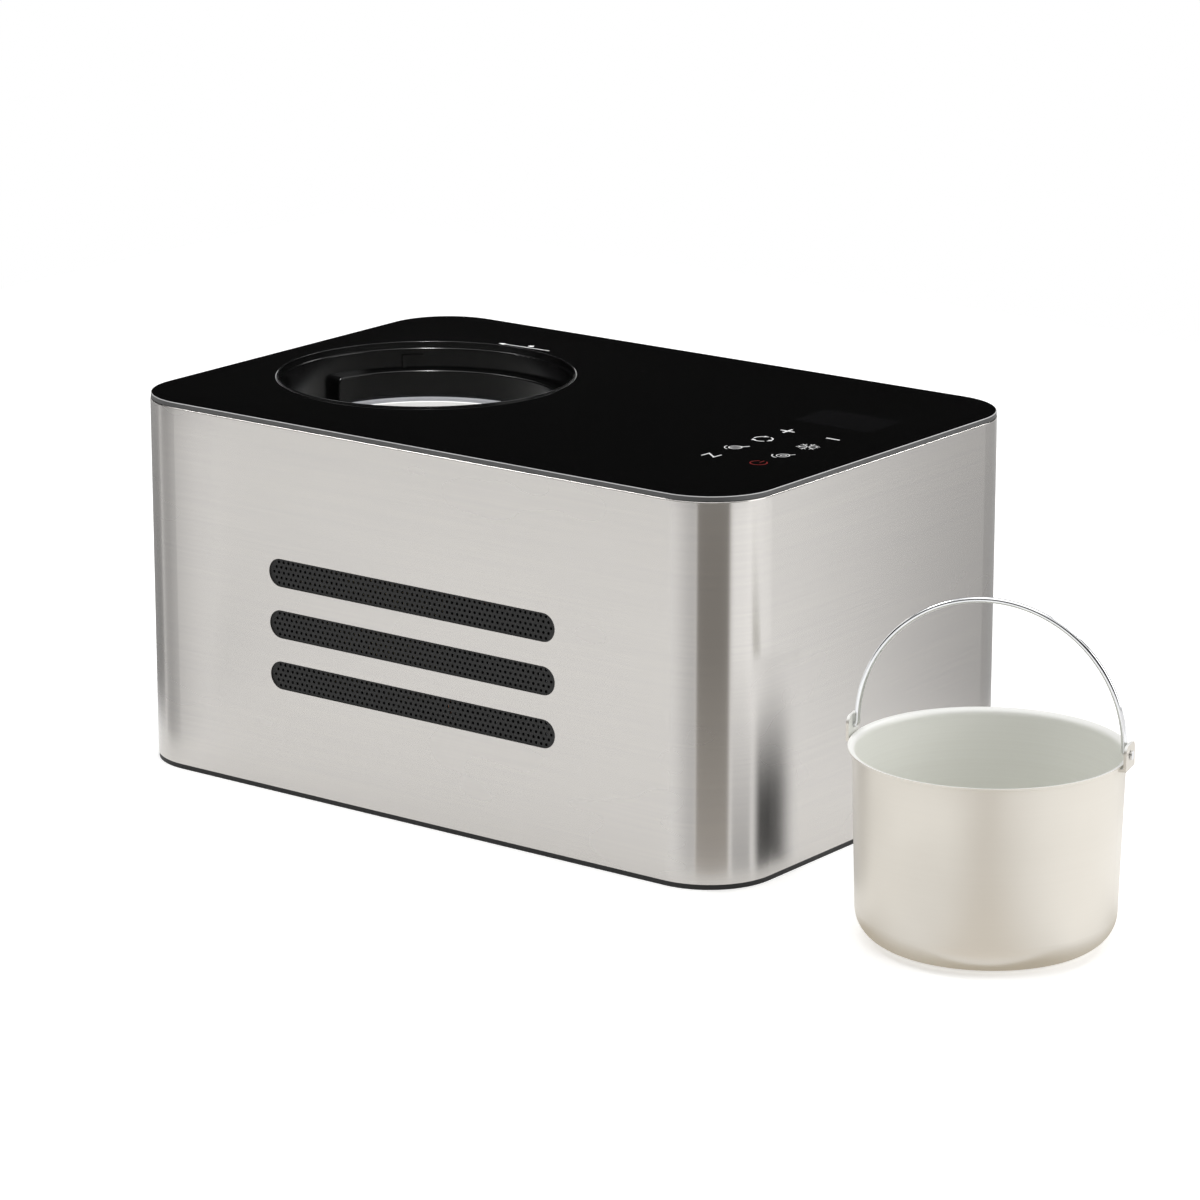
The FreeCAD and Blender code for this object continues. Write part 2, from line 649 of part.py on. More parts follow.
def sweep(path, outside, inside=0.0):
    """Rod or tube along a wire."""
    start = path.Edges[0]
    point = start.valueAt(start.FirstParameter)
    heading = start.tangentAt(start.FirstParameter)
    radii = [outside, inside] if inside else [outside]
    rings = [Part.Wire([Part.makeCircle(radius, point, heading)]) for radius in radii]
    return path.makePipe(Part.makeFace(rings, "Part::FaceMakerBullseye"))


def points_of(*triples):
    """Vectors of points given as formulas."""
    return [Vector(*(value(formula) for formula in triple)) for triple in triples]


def plate_with_holes(outline, holes, depth):
    """Flat plate with openings, pushed along a vector from its outline."""
    inner = [hole.copy() for hole in holes]
    for hole in inner:
        hole.reverse()
    return Part.Face([outline] + inner).extrude(depth)


nodes = {}


def keep(name, item):
    """Register a finished sub-part under its node name."""
    item.Label = name
    nodes[name] = item
    return item


# Housing

def steel_sleeve():
    """Wrapped sheet with a folded hem, vent slots in front and back, and the inlet's cut-out."""
    body = doc.addObject("PartDesign::Body", "steel_sleeve")
    outline = sketch_on(body, "sleeve_outline", "XY_Plane", "base_reveal")
    inset_outline(outline, "0")
    pad(body, outline, "sleeve_height")
    inside = sketch_on(body, "sleeve_inside", "XY_Plane", "base_reveal")
    inset_outline(inside, "steel_wall")
    pocket(body, inside, "sleeve_height - steel_wall", along_normal=True)
    mouth = sketch_on(body, "sleeve_mouth", "XY_Plane", "sleeve_top")
    inset_outline(mouth, "hem_width")
    pocket(body, mouth, "steel_wall * 2")
    front = sketch_on(body, "front_slots", "XZ_Plane", "body_width / 2")
    back = sketch_on(body, "rear_slots", "XZ_Plane", "-body_width / 2")
    for index in range(3):
        level = f"slot_low_z + {index} * slot_pitch"
        for sketch in (front, back):
            stadium(sketch, "slot_middle_x", level, "slot_length", "slot_height")
    pocket(body, front, "steel_wall * 2")
    pocket(body, back, "steel_wall * 2", along_normal=True)
    opening = sketch_on(body, "inlet_opening", "XZ_Plane", "-body_width / 2")
    half_x = "(inlet_width / 2 + fit_gap)"
    half_z = "(inlet_height / 2 + fit_gap)"
    rectangle(opening, (f"inlet_x - {half_x}", f"inlet_z - {half_z}"),
              (f"inlet_x + {half_x}", f"inlet_z + {half_z}"))
    pocket(body, opening, "steel_wall * 2", along_normal=True)
    round_edges(body, "sleeve_hem_edge", "hem_round", outer_edge_at("sleeve_top"))
    return body


def base_tray():
    """Moulded tray inside the sleeve's foot, with bosses, pad pockets and countersunk holes."""
    body = doc.addObject("PartDesign::Body", "tray_shell")
    foot = sketch_on(body, "tray_foot", "XY_Plane")
    inset_outline(foot, "tray_inset")
    pad(body, foot, "base_reveal")
    wall = sketch_on(body, "tray_outside", "XY_Plane", "base_reveal")
    inset_outline(wall, "slip")
    pad(body, wall, "tray_rim - base_reveal")
    hollow = sketch_on(body, "tray_inside", "XY_Plane", "tray_rim")
    inset_outline(hollow, "slip + tray_wall")
    pocket(body, hollow, "tray_rim - tray_floor")
    bosses = []
    holes = []
    for turn, spot in enumerate(compressor_spots()):
        foot_level = (*spot, "tray_floor / 2")
        bosses.append(rod(f"boss_{turn}", "boss_radius", foot_level, "boss_top - tray_floor / 2"))
        holes.append(rod(f"bolt_hole_{turn}", "bolt_radius + thread_gap", (*spot, "tray_floor"), "boss_top"))
    for turn, (a, b) in enumerate(SIGNS):
        below = (f"{a}pad_x", f"{b}pad_y", "-pad_depth")
        holes.append(rod(f"pad_pocket_{turn}", "pad_radius + fit_gap", below, "pad_depth * 2"))
        post = (f"{a}post_x", f"{b}post_y")
        shank = rod(f"post_hole_{turn}", "screw_hole", (*post, "-1"), "tray_floor + 2")
        sink = cone(f"post_sink_{turn}", "screw_head + thread_gap", "screw_hole", (*post, "0"),
                    "screw_head - screw_radius")
        holes.append(fuse(f"post_bore_{turn}", shank, sink))
    return cut("base_tray", fuse("tray_with_bosses", body, *bosses), *holes)


def rubber_pads():
    """Four pads that stand flush in the base."""
    places = [(f"{a}pad_x", f"{b}pad_y", "0") for a, b in SIGNS]
    pads = [rod(f"pad_{n}", "pad_radius", spot, "pad_depth") for n, spot in enumerate(places)]
    return group("rubber_pads", *pads)


def tie_posts():
    """Posts that tie the top frame to the tray."""
    posts = []
    depth = "screw_grip + screw_radius"
    for turn, (a, b) in enumerate(SIGNS):
        spot = (f"{a}post_x", f"{b}post_y")
        body = rod(f"post_{turn}", "post_radius", (*spot, "tray_floor"), "deck_under - tray_floor")
        low = rod(f"post_low_{turn}", "screw_hole", (*spot, "tray_floor"), depth)
        high = rod(f"post_high_{turn}", "screw_hole", (*spot, f"deck_under - ({depth})"), depth)
        posts.append(cut(f"post_bored_{turn}", body, low, high))
    return group("tie_posts", *posts)


def post_screws(name, head_level, neck_level, tip_level):
    """Countersunk screws at the four posts, from head to tip."""
    screws = []
    for turn, (a, b) in enumerate(SIGNS):
        spot = (f"{a}post_x", f"{b}post_y")
        upwards = value(tip_level) > value(head_level)
        low, high = (head_level, neck_level) if upwards else (neck_level, head_level)
        radii = ("screw_head", "screw_radius") if upwards else ("screw_radius", "screw_head")
        head = cone(f"{name}_head_{turn}", *radii, (*spot, low), f"({high}) - ({low})")
        low, high = (neck_level, tip_level) if upwards else (tip_level, neck_level)
        shank = rod(f"{name}_shank_{turn}", "screw_radius", (*spot, low), f"({high}) - ({low})")
        screws.append(fuse(f"{name}_{turn}", head, shank))
    return group(name, *screws)


def base_screws():
    """Screws from below into the posts, sunk in the tray's floor."""
    sunk = "thread_gap"
    return post_screws("base_screws", sunk, f"{sunk} + screw_head - screw_radius", "tray_floor + screw_grip")


def frame_screws():
    """Screws from above into the posts, under the glass."""
    head = "hem_under - thread_gap"
    neck = f"{head} - screw_head + screw_radius"
    return post_screws("frame_screws", head, neck, "deck_under - screw_grip")


def grille_strip(level, outer_y, inward, holes):
    """One strip behind a slot, with the openings that a function gives."""
    half_length = value("slot_length / 2 + mesh_border")
    half_height = value("slot_height / 2 + mesh_border")
    middle = Vector(value("slot_middle_x"), outer_y, level)
    corners = [(-1, -1), (-1, 1), (1, 1), (1, -1), (-1, -1)]
    outline = Part.makePolygon([middle + Vector(a * half_length, 0, b * half_height) for a, b in corners])
    return plate_with_holes(outline, holes(middle), Vector(0, inward * value("mesh_thickness"), 0))


def perforation(middle):
    """Staggered round holes that fill one slot."""
    pitch = value("mesh_pitch")
    hole = value("mesh_hole")
    row_pitch = pitch * math.sqrt(3) / 2
    end_radius = value("slot_height / 2") - hole
    straight = value("(slot_length - slot_height) / 2")
    side_rows = int(end_radius / row_pitch)
    wires = []
    for row_index in range(-side_rows, side_rows + 1):
        rise = row_index * row_pitch
        reach = straight + math.sqrt(end_radius ** 2 - rise ** 2)
        shift = pitch / 2 if row_index % 2 else 0.0
        count = int((reach - shift) / pitch)
        for step in range(-count - (1 if shift else 0), count + 1):
            centre = middle + Vector(step * pitch + shift, 0, rise)
            wires.append(Part.Wire([Part.makeCircle(hole, centre, Vector(0, 1, 0))]))
    return wires


def louvres(middle):
    """Upright windows between bars that fill one slot."""
    pitch = value("louvre_pitch")
    half_window = (pitch - value("louvre_bar")) / 2
    half_height = value("slot_height / 2 - louvre_bar / 2")
    count = int(value("slot_length / 2 - louvre_bar") / pitch)
    corners = [(-1, -1), (-1, 1), (1, 1), (1, -1), (-1, -1)]
    wires = []
    for step in range(-count, count + 1):
        centre = middle + Vector(step * pitch, 0, 0)
        window = [centre + Vector(a * half_window, 0, b * half_height) for a, b in corners]
        wires.append(Part.makePolygon(window))
    return wires


def grille(name, outer_y, inward, holes):
    """Three strips, one behind each slot of a wall."""
    levels = [value(f"slot_low_z + {index} * slot_pitch") for index in range(3)]
    return feature(name, Part.makeCompound([grille_strip(z, outer_y, inward, holes) for z in levels]))


def top_frame():
    """Moulded frame under the glass, with a seat for the collar and a window over the touch board."""
    body = doc.addObject("PartDesign::Body", "frame_shell")
    lower = sketch_on(body, "frame_outside", "XY_Plane", "deck_under - frame_skirt")
    inset_outline(lower, "slip")
    pad(body, lower, "frame_skirt + hem_under - deck_under")
    raised = sketch_on(body, "frame_raised", "XY_Plane", "hem_under")
    inset_outline(raised, "hem_width + fit_gap")
    pad(body, raised, "glass_under - hem_under")
    hollow = sketch_on(body, "frame_inside", "XY_Plane", "deck_under - frame_skirt")
    inset_outline(hollow, "slip + frame_wall")
    pocket(body, hollow, "frame_skirt", along_normal=True)
    seat = sketch_on(body, "collar_seat", "XY_Plane", "glass_under")
    circle(seat, "well_x", "0", "collar_flange_radius + fit_gap")
    pocket(body, seat, "collar_flange")
    hole = sketch_on(body, "collar_hole", "XY_Plane", "glass_under")
    circle(hole, "well_x", "0", "collar_radius + collar_wall + fit_gap")
    pocket(body, hole, "deck_thickness + 1")
    window = sketch_on(body, "touch_window", "XY_Plane", "glass_under")
    rectangle(window, ("window_left", "window_front"), ("window_right", "window_back"))
    pocket(body, window, "deck_thickness + 1")
    bosses = []
    holes = []
    for turn, (x, y) in enumerate(touch_fixings()):
        bosses.append(rod(f"touch_boss_{turn}", "small_screw * 2.2", (x, y, "touch_top"),
                          "deck_under - touch_top + 1"))
        holes.append(rod(f"touch_bore_{turn}", "small_screw + thread_gap", (x, y, "touch_top"),
                         "deck_under - touch_top + 3"))
    for turn, (a, b) in enumerate(SIGNS):
        spot = (f"{a}post_x", f"{b}post_y")
        shank = rod(f"frame_hole_{turn}", "screw_hole", (*spot, "deck_under - 1"), "deck_thickness")
        sink = cone(f"frame_sink_{turn}", "screw_hole", "screw_head + thread_gap",
                    (*spot, "hem_under - screw_head + screw_radius"), "screw_head - screw_radius")
        well = rod(f"frame_well_{turn}", "screw_head + thread_gap", (*spot, "hem_under"), "deck_thickness")
        holes.append(fuse(f"frame_bore_{turn}", shank, sink, well))
    return cut("top_frame", fuse("frame_with_bosses", body, *bosses), *holes)


def touch_fixings():
    """Four fixings of the touch board, outside the deck's window."""
    x_low = "window_left - touch_margin / 2"
    y_low = "window_front - touch_margin / 2"
    x_high = "window_right + touch_margin / 2"
    y_high = "window_back + touch_margin / 2"
    return [(x, y) for x in (x_low, x_high) for y in (y_low, y_high)]


def top_glass():
    """Glass plate with the well's opening and ground edges."""
    body = doc.addObject("PartDesign::Body", "top_glass")
    outline = sketch_on(body, "glass_outline", "XY_Plane", "glass_under")
    inset_outline(outline, "glass_inset")
    circle(outline, "well_x", "0", "opening_radius")
    pad(body, outline, "glass_thickness")
    round_edges(body, "glass_ground_edge", "glass_edge", level_at("glass_under + glass_thickness"))
    return body


# Cold well

def collar_ring():
    """Collar with bayonet ledges, two recesses for the bowl's ears and two lid stops."""
    body = doc.addObject("PartDesign::Body", "collar_turned")
    outside = "collar_radius + collar_wall"
    flange = "glass_under - collar_flange"
    rim = "opening_radius - fit_gap"
    rim_inside = f"{rim} - rim_wall"
    rim_top = "glass_under + glass_thickness + rim_rise"
    revolve(body, "collar_profile", (
        ("skirt_radius", "chamber_rim"), (outside, "chamber_rim"), (outside, flange),
        ("collar_flange_radius", flange), ("collar_flange_radius", "glass_under"),
        (rim, "glass_under"), (rim, rim_top), (rim_inside, rim_top), (rim_inside, "glass_under"),
        ("collar_radius", "glass_under"), ("collar_radius", "ledge"), ("skirt_radius", "ledge"),
    ))
    round_edges(body, "collar_lip", "collar_round", ring_at("collar_radius", "glass_under"))
    round_edges(body, "collar_rim", "rim_round", level_at(rim_top))
    place(body, "well_x")
    recesses = []
    stops = []
    rooted = "collar_radius + collar_wall / 2"
    stop_top = "ledge + stop_height"
    for turn in range(2):
        half = f"{turn} * 180"
        recesses.append(wedge(f"recess_{turn}", "collar_radius", "recess_angle", f"recess_start + {half}",
                              "chamber_rim + collar_floor", "ledge + collar_round"))
        rib = wedge(f"stop_rib_{turn}", rooted, "stop_width_angle", f"stop_angle + {half}",
                    "ledge - collar_round", stop_top)
        track = wedge(f"stop_track_{turn}", rooted, "track_angle", f"stop_angle + {half} - track_angle",
                      f"{stop_top} - collar_round", stop_top)
        core = rod(f"stop_core_{turn}", "collar_radius - stop_depth", ("well_x", "0", "chamber_rim"),
                   "glass_under - chamber_rim")
        stops.append(cut(f"stop_{turn}", fuse(f"stop_blank_{turn}", rib, track), core))
    pilot = "chamber_screw + thread_gap"
    holes = [chamber_screw_rod(f"collar_pilot_{turn}", turn, pilot, "chamber_rim - 1", "pilot_depth + 1")
             for turn in range(4)]
    recessed = feature("collar_rounded", rounded_recesses(cut("collar_recessed", body, *recesses)))
    return cut("collar_ring", fuse("collar_with_stops", recessed, *stops), *holes)


def rounded_recesses(item):
    """Collar with its ledges' ends rolled down into the recesses and their inner edges eased."""
    doc.recompute()
    ledge = value("ledge")
    top_of_end = level_at("ledge")
    ends = [edge for edge in item.Shape.Edges if top_of_end(edge) and edge.Curve.TypeId == "Part::GeomLine"]
    shape = item.Shape.makeFillet(value("recess_round"), ends)
    skirt = value("skirt_radius")
    axis_x = value("well_x")
    low = value("chamber_rim + collar_floor")
    eased = []
    for edge in shape.Edges:
        middle = edge.valueAt((edge.FirstParameter + edge.LastParameter) / 2)
        on_skirt = abs(math.hypot(middle.x - axis_x, middle.y) - skirt) < 0.01
        if on_skirt and low + 0.01 < middle.z < ledge + 0.01 and edge.BoundBox.ZMax > low + 0.01:
            eased.append(edge)
    return shape.makeFillet(value("collar_round"), eased)


CHAMBER_SCREW_ANGLES = (80, 150, 260, 330)


def chamber_screw_rod(name, turn, radius, low, length):
    """Cylinder at one of the four screws between chamber flange and collar."""
    angle = math.radians(CHAMBER_SCREW_ANGLES[turn])
    reach = "((skirt_radius + chamber_flange) / 2)"
    x = f"well_x + {reach} * {math.cos(angle):.6f}"
    y = f"{reach} * {math.sin(angle):.6f}"
    return rod(name, radius, (x, y, low), length)


def chamber_liner():
    """Drawn aluminium cup with a flange."""
    body = doc.addObject("PartDesign::Body", "liner_turned")
    under = "chamber_floor - chamber_wall"
    flange = "chamber_rim - chamber_wall"
    revolve(body, "liner_profile", (
        ("0", under), ("chamber_outside", under), ("chamber_outside", flange), ("chamber_flange", flange),
        ("chamber_flange", "chamber_rim"), ("chamber_radius", "chamber_rim"),
        ("chamber_radius", "chamber_floor"), ("0", "chamber_floor"),
    ))
    round_edges(body, "liner_foot_inside", "chamber_round", ring_at("chamber_radius", "chamber_floor"))
    round_edges(body, "liner_foot_outside", "chamber_round + chamber_wall",
                ring_at("chamber_outside", under))
    place(body, "well_x")
    holes = [chamber_screw_rod(f"liner_hole_{turn}", turn, "chamber_screw + thread_gap",
                               "chamber_rim - 2 * chamber_wall", "chamber_wall * 3") for turn in range(4)]
    return cut("chamber_liner", body, *holes)


def chamber_screws():
    """Screws from below through the chamber's flange into the collar."""
    screws = []
    for turn in range(4):
        head = chamber_screw_rod(f"chamber_head_{turn}", turn, "chamber_screw * 2",
                                 "chamber_rim - chamber_wall - chamber_screw", "chamber_screw")
        shank = chamber_screw_rod(f"chamber_shank_{turn}", turn, "chamber_screw",
                                  "chamber_rim - chamber_wall - chamber_screw / 2", "pilot_depth")
        screws.append(fuse(f"chamber_screw_{turn}", head, shank))
    return group("chamber_screws", *screws)


def chamber_seal():
    """Ring on the chamber's flange, inside the collar's foot."""
    axis = ("well_x", "0", "chamber_rim")
    outer = rod("seal_outside", "skirt_radius - fit_gap", axis, "collar_floor")
    inner = rod("seal_inside", "skirt_radius - fit_gap - seal_wall", axis, "collar_floor")
    return cut("chamber_seal", outer, inner)


def coil_radius():
    """Centre line of the evaporator's tube from the well's axis."""
    return value("chamber_outside + tube_radius + thread_gap")


def coil_point(angle, level):
    """Point on the evaporator's centre line, its angle in radians."""
    radius = coil_radius()
    return Vector(value("well_x") + radius * math.cos(angle), radius * math.sin(angle), level)


def evaporator_coil():
    """Tube that goes round the chamber and back, pass above pass."""
    gap = math.radians(value("coil_gap_angle"))
    pitch = value("coil_pitch")
    passes = int(value("coil_passes"))
    edges = []
    for index in range(passes):
        level = value("coil_low_z") + index * pitch
        angles = [gap, (gap + math.pi) / 2, math.pi, (3 * math.pi - gap) / 2, 2 * math.pi - gap]
        if index % 2:
            angles.reverse()
        for first in (0, 2):
            edges.append(Part.Arc(*(coil_point(a, level) for a in angles[first:first + 3])).toShape())
        if index < passes - 1:
            end = coil_point(angles[-1], level)
            way = 1 if angles[-1] > angles[0] else -1
            heading = Vector(-math.sin(angles[-1]), math.cos(angles[-1]), 0) * way
            lift = UP * (pitch / 2)
            edges.append(Part.Arc(end, end + heading * (pitch / 2) + lift, end + lift * 2).toShape())
    bore = value("tube_radius - tube_wall")
    return feature("evaporator_coil", sweep(Part.Wire(edges), value("tube_radius"), bore))


def foam_half(name, start, *slots):
    """Half of the foam jacket around the chamber and its coil."""
    top = "chamber_rim - foam_top_gap"
    blank = wedge(f"{name}_blank", "foam_bore + foam_wall", "180", start, "foam_foot", top)
    bore = rod(f"{name}_bore", "foam_bore", ("well_x", "0", "foam_level"), "chamber_depth")
    return cut(name, blank, fuse(f"{name}_hollow", bore, *slots) if slots else bore)


def foam_front():
    """Front half of the jacket."""
    return foam_half("foam_front", "180")


def foam_rear():
    """Rear half, with a slot for each tube that leaves the well."""
    slots = []
    for turn, level in enumerate(("coil_low_z", "coil_top")):
        low = ("well_x + foam_bore - foam_wall", "-1", f"{level} - tube_radius * 2")
        high = ("well_x + foam_bore + foam_wall + 1", "well_tube_y + tube_radius * 3",
                f"{level} + tube_radius * 2")
        slots.append(block(f"foam_slot_{turn}", low, high))
    return foam_half("foam_rear", "0", *slots)


def well_stand():
    """Ring with windows that carries the foam on the tray."""
    axis = ("well_x", "0", "tray_floor")
    height = "foam_foot - tray_floor"
    outer = rod("stand_outside", "stand_radius", axis, height)
    inner = rod("stand_inside", "stand_radius - stand_wall", axis, height)
    low = "tray_floor + 8"
    high = "foam_foot - 8"
    along = block("stand_window_x", ("well_x - stand_radius - 1", "-stand_window / 2", low),
                  ("well_x + stand_radius + 1", "stand_window / 2", high))
    across = block("stand_window_y", ("well_x - stand_window / 2", "-stand_radius - 1", low),
                   ("well_x + stand_window / 2", "stand_radius + 1", high))
    return cut("well_stand", outer, fuse("stand_hollow", inner, along, across))


def chamber_sensor():
    """Temperature sensor against the chamber's wall, in the coil's open sector."""
    x = "well_x + chamber_outside + sensor_radius + thread_gap"
    return rod("chamber_sensor", "sensor_radius", (x, "0", "coil_low_z + coil_pitch * 2"), "sensor_length")


# Compressor

def compressor_shell(name, outer, lip, edge):
    """Half of the can: its closed end at one level and its open end at the seam."""
    body = doc.addObject("PartDesign::Body", name)
    wall = "compressor_radius - compressor_wall"
    inner = f"{outer} + {edge} * compressor_wall"
    profile = [("0", outer), ("compressor_radius", outer)]
    if lip:
        step = "can_seam - seam_lip * 2"
        profile += [("compressor_radius", step), ("compressor_radius + seam_lip", step),
                    ("compressor_radius + seam_lip", "can_seam")]
    else:
        profile += [("compressor_radius", "can_seam")]
    profile += [(wall, "can_seam"), (wall, inner), ("0", inner)]
    revolve(body, f"{name}_profile", profile)
    rounding = "can_foot_round" if lip else "can_top_round"
    round_edges(body, f"{name}_round_outside", rounding, ring_at("compressor_radius", outer))
    round_edges(body, f"{name}_round_inside", f"{rounding} - compressor_wall", ring_at(wall, inner))
    place(body, "compressor_x", "compressor_y")
    return body


def compressor_spots():
    """The four grommets of the compressor."""
    return [(f"compressor_x + {a}plate_reach_x", f"compressor_y + {b}plate_reach_y") for a, b in SIGNS]


def compressor_base_plate():
    """Plate welded under the can, on its grommets."""
    reach_x = "(plate_reach_x + plate_margin)"
    reach_y = "(plate_reach_y + plate_margin)"
    low = (f"compressor_x - {reach_x}", f"compressor_y - {reach_y}", "plate_under")
    high = (f"compressor_x + {reach_x}", f"compressor_y + {reach_y}", "can_foot")
    holes = [rod(f"plate_hole_{n}", "grommet_neck + thread_gap", (*spot, "boss_top"), "can_foot + 1")
             for n, spot in enumerate(compressor_spots())]
    return cut("compressor_base_plate", block("base_plate_blank", low, high), *holes)


def compressor_grommets():
    """Rubber grommets between tray and plate."""
    grommets = []
    height = "grommet_foot + plate_thickness * 2"
    for n, spot in enumerate(compressor_spots()):
        foot = rod(f"grommet_foot_{n}", "grommet_radius", (*spot, "boss_top"), "grommet_foot")
        neck = rod(f"grommet_neck_{n}", "grommet_neck", (*spot, "boss_top"), height)
        head = rod(f"grommet_head_{n}", "grommet_radius - 1", (*spot, "can_foot"), "plate_thickness")
        bore = rod(f"grommet_bore_{n}", "bolt_radius + fit_gap", (*spot, "0"), f"boss_top + {height} + 1")
        grommets.append(cut(f"grommet_{n}", fuse(f"grommet_blank_{n}", foot, neck, head), bore))
    return group("compressor_grommets", *grommets)


def compressor_bolts():
    """Bolts through the grommets into the tray's bosses."""
    bolts = []
    seat = "(can_foot + plate_thickness)"
    for n, spot in enumerate(compressor_spots()):
        head = rod(f"bolt_head_{n}", "bolt_head", (*spot, seat), "bolt_radius + 1")
        shank = rod(f"bolt_shank_{n}", "bolt_radius", (*spot, "tray_floor + 1"), f"{seat} - tray_floor")
        bolts.append(fuse(f"bolt_{n}", head, shank))
    return group("compressor_bolts", *bolts)


def compressor_terminal_cover():
    """Cover over the can's terminals, shaped to the can."""
    bottom = "can_foot + terminal_low - terminal_height / 2"
    low = ("terminal_face", "compressor_y - terminal_width / 2", bottom)
    high = ("compressor_x - compressor_radius / 2", "compressor_y + terminal_width / 2",
            f"{bottom} + terminal_height")
    can = rod("terminal_can", "compressor_radius + seam_lip + thread_gap",
              ("compressor_x", "compressor_y", "0"), "can_top")
    return cut("compressor_terminal_cover", block("terminal_blank", low, high), can)


# Cooling circuit

def refrigerant_tube(name, points):
    """Tube of the circuit along straight runs with round bends."""
    path = bent_path(points, value("tube_bend"))
    return feature(name, sweep(path, value("tube_radius"), value("tube_radius - tube_wall")))


def well_exit(level):
    """Coil end and the corner where its tube turns towards the machinery."""
    gap = math.radians(value("coil_gap_angle"))
    end = coil_point(gap, value(level))
    heading = Vector(math.sin(gap), -math.cos(gap), 0)
    run = (end.y - value("well_tube_y")) / math.cos(gap)
    return [end, end + heading * run]


def suction_line():
    """From the evaporator's upper end over to the can's top."""
    port_x = "compressor_x - port_reach"
    return refrigerant_tube("suction_line", well_exit("coil_top") + points_of(
        (f"{port_x} - compressor_y + well_tube_y", "well_tube_y", "coil_top"),
        (port_x, "compressor_y", "coil_top"),
        (port_x, "compressor_y", "can_top"),
    ))


def discharge_line():
    """From the can's top to the condenser's rear row."""
    port_x = "compressor_x + port_reach"
    run_z = "can_top + tube_bend * 2"
    return refrigerant_tube("discharge_line", points_of(
        (port_x, "compressor_y", "can_top"),
        (port_x, "compressor_y", run_z),
        ("stub_x + tube_bend * 2", "0", run_z),
        ("stub_x + tube_bend * 2", "rear_row_y", run_z),
        ("stub_x + tube_bend * 2", "rear_row_y", "top_pass"),
        ("stub_x", "rear_row_y", "top_pass"),
    ))


def condenser_rows():
    """Y places of the two rows of condenser tubes, front first."""
    return value("front_row_y"), value("rear_row_y")


def condenser_levels():
    """Heights of the condenser's passes."""
    count = int(value("condenser_passes"))
    return [value("condenser_low_z") + index * value("condenser_pitch") for index in range(count)]


def condenser_coil():
    """Serpentine in two rows, down the rear row and up the front one."""
    left = value("condenser_x - tube_bend / 4")
    right = value("condenser_end + tube_bend / 4")
    far = value("stub_x")
    front, rear = condenser_rows()
    levels = condenser_levels()
    stations = [(rear, z) for z in reversed(levels)] + [(front, z) for z in levels]
    edges = []
    for index, (y, z) in enumerate(stations):
        start_x, end_x = (left, right) if index % 2 else (right, left)
        if index == 0:
            start_x = far
        if index == len(stations) - 1:
            end_x = far
        end = Vector(end_x, y, z)
        edges.append(Part.makeLine(Vector(start_x, y, z), end))
        if index < len(stations) - 1:
            next_y, next_z = stations[index + 1]
            step = Vector(0, next_y - y, next_z - z)
            out = Vector(step.Length / 2 * (1 if end_x > start_x else -1), 0, 0)
            edges.append(Part.Arc(end, end + step / 2 + out, end + step).toShape())
    path = Part.Wire(edges)
    return feature("condenser_coil", sweep(path, value("tube_radius"), value("tube_radius - tube_wall")))


def condenser_plate(x, low, high, overlap, thickness):
    """Plate across the condenser's tubes, with a hole for each."""
    front = value(f"condenser_front - {overlap}")
    back = value(f"condenser_front + condenser_depth + {overlap}")
    corners = [(front, low), (front, high), (back, high), (back, low), (front, low)]
    outline = Part.makePolygon([Vector(x, y, z) for y, z in corners])
    radius = value("tube_radius + thread_gap")
    along = Vector(-1, 0, 0)
    holes = [Part.Wire([Part.makeCircle(radius, Vector(x, y, z), along)])
             for y in condenser_rows() for z in condenser_levels()]
    return plate_with_holes(outline, holes, Vector(thickness, 0, 0))


def condenser_fins():
    """Row of thin fins on the tubes."""
    pitch = value("fin_pitch")
    first = value("condenser_x + sheet_steel") + pitch
    last = value("condenser_end - sheet_steel") - pitch
    count = int((last - first) / pitch) + 1
    fin = condenser_plate(first, value("fin_low"), value("fin_high"), "0", value("fin_thickness"))
    fins = []
    for index in range(count):
        copy = fin.copy()
        copy.translate(Vector(index * pitch, 0, 0))
        fins.append(copy)
    return feature("condenser_fins", Part.makeCompound(fins))


def condenser_end_plates():
    """End plates that stand on the tray and carry the tubes."""
    thickness = value("sheet_steel")
    places = (value("condenser_x"), value("condenser_end - sheet_steel"))
    floor = value("tray_floor")
    top = value("fin_high + plate_overlap")
    plates = [condenser_plate(x, floor, top, "plate_overlap", thickness) for x in places]
    return feature("condenser_end_plates", Part.makeCompound(plates))


def liquid_line():
    """From the condenser's front row down to the drier."""
    return refrigerant_tube("liquid_line", points_of(
        ("stub_x", "front_row_y", "top_pass"),
        ("drier_x", "front_row_y", "top_pass"),
        ("drier_x", "front_row_y", "drier_z"),
        ("drier_x", "drier_front", "drier_z"),
    ))


def filter_drier():
    """Copper can with a cone at each end."""
    mouth = ("drier_x", "drier_front", "drier_z")
    shoulder = ("drier_x", "drier_front + drier_cone", "drier_z")
    far_shoulder = ("drier_x", "drier_back - drier_cone", "drier_z")
    front = cone("drier_front_cone", "tube_radius", "drier_radius", mouth, "drier_cone", "y")
    can = rod("drier_can", "drier_radius", shoulder, "drier_back - drier_front - 2 * drier_cone", "y")
    back = cone("drier_back_cone", "drier_radius", "tube_radius", far_shoulder, "drier_cone", "y")
    return fuse("filter_drier", front, can, back)


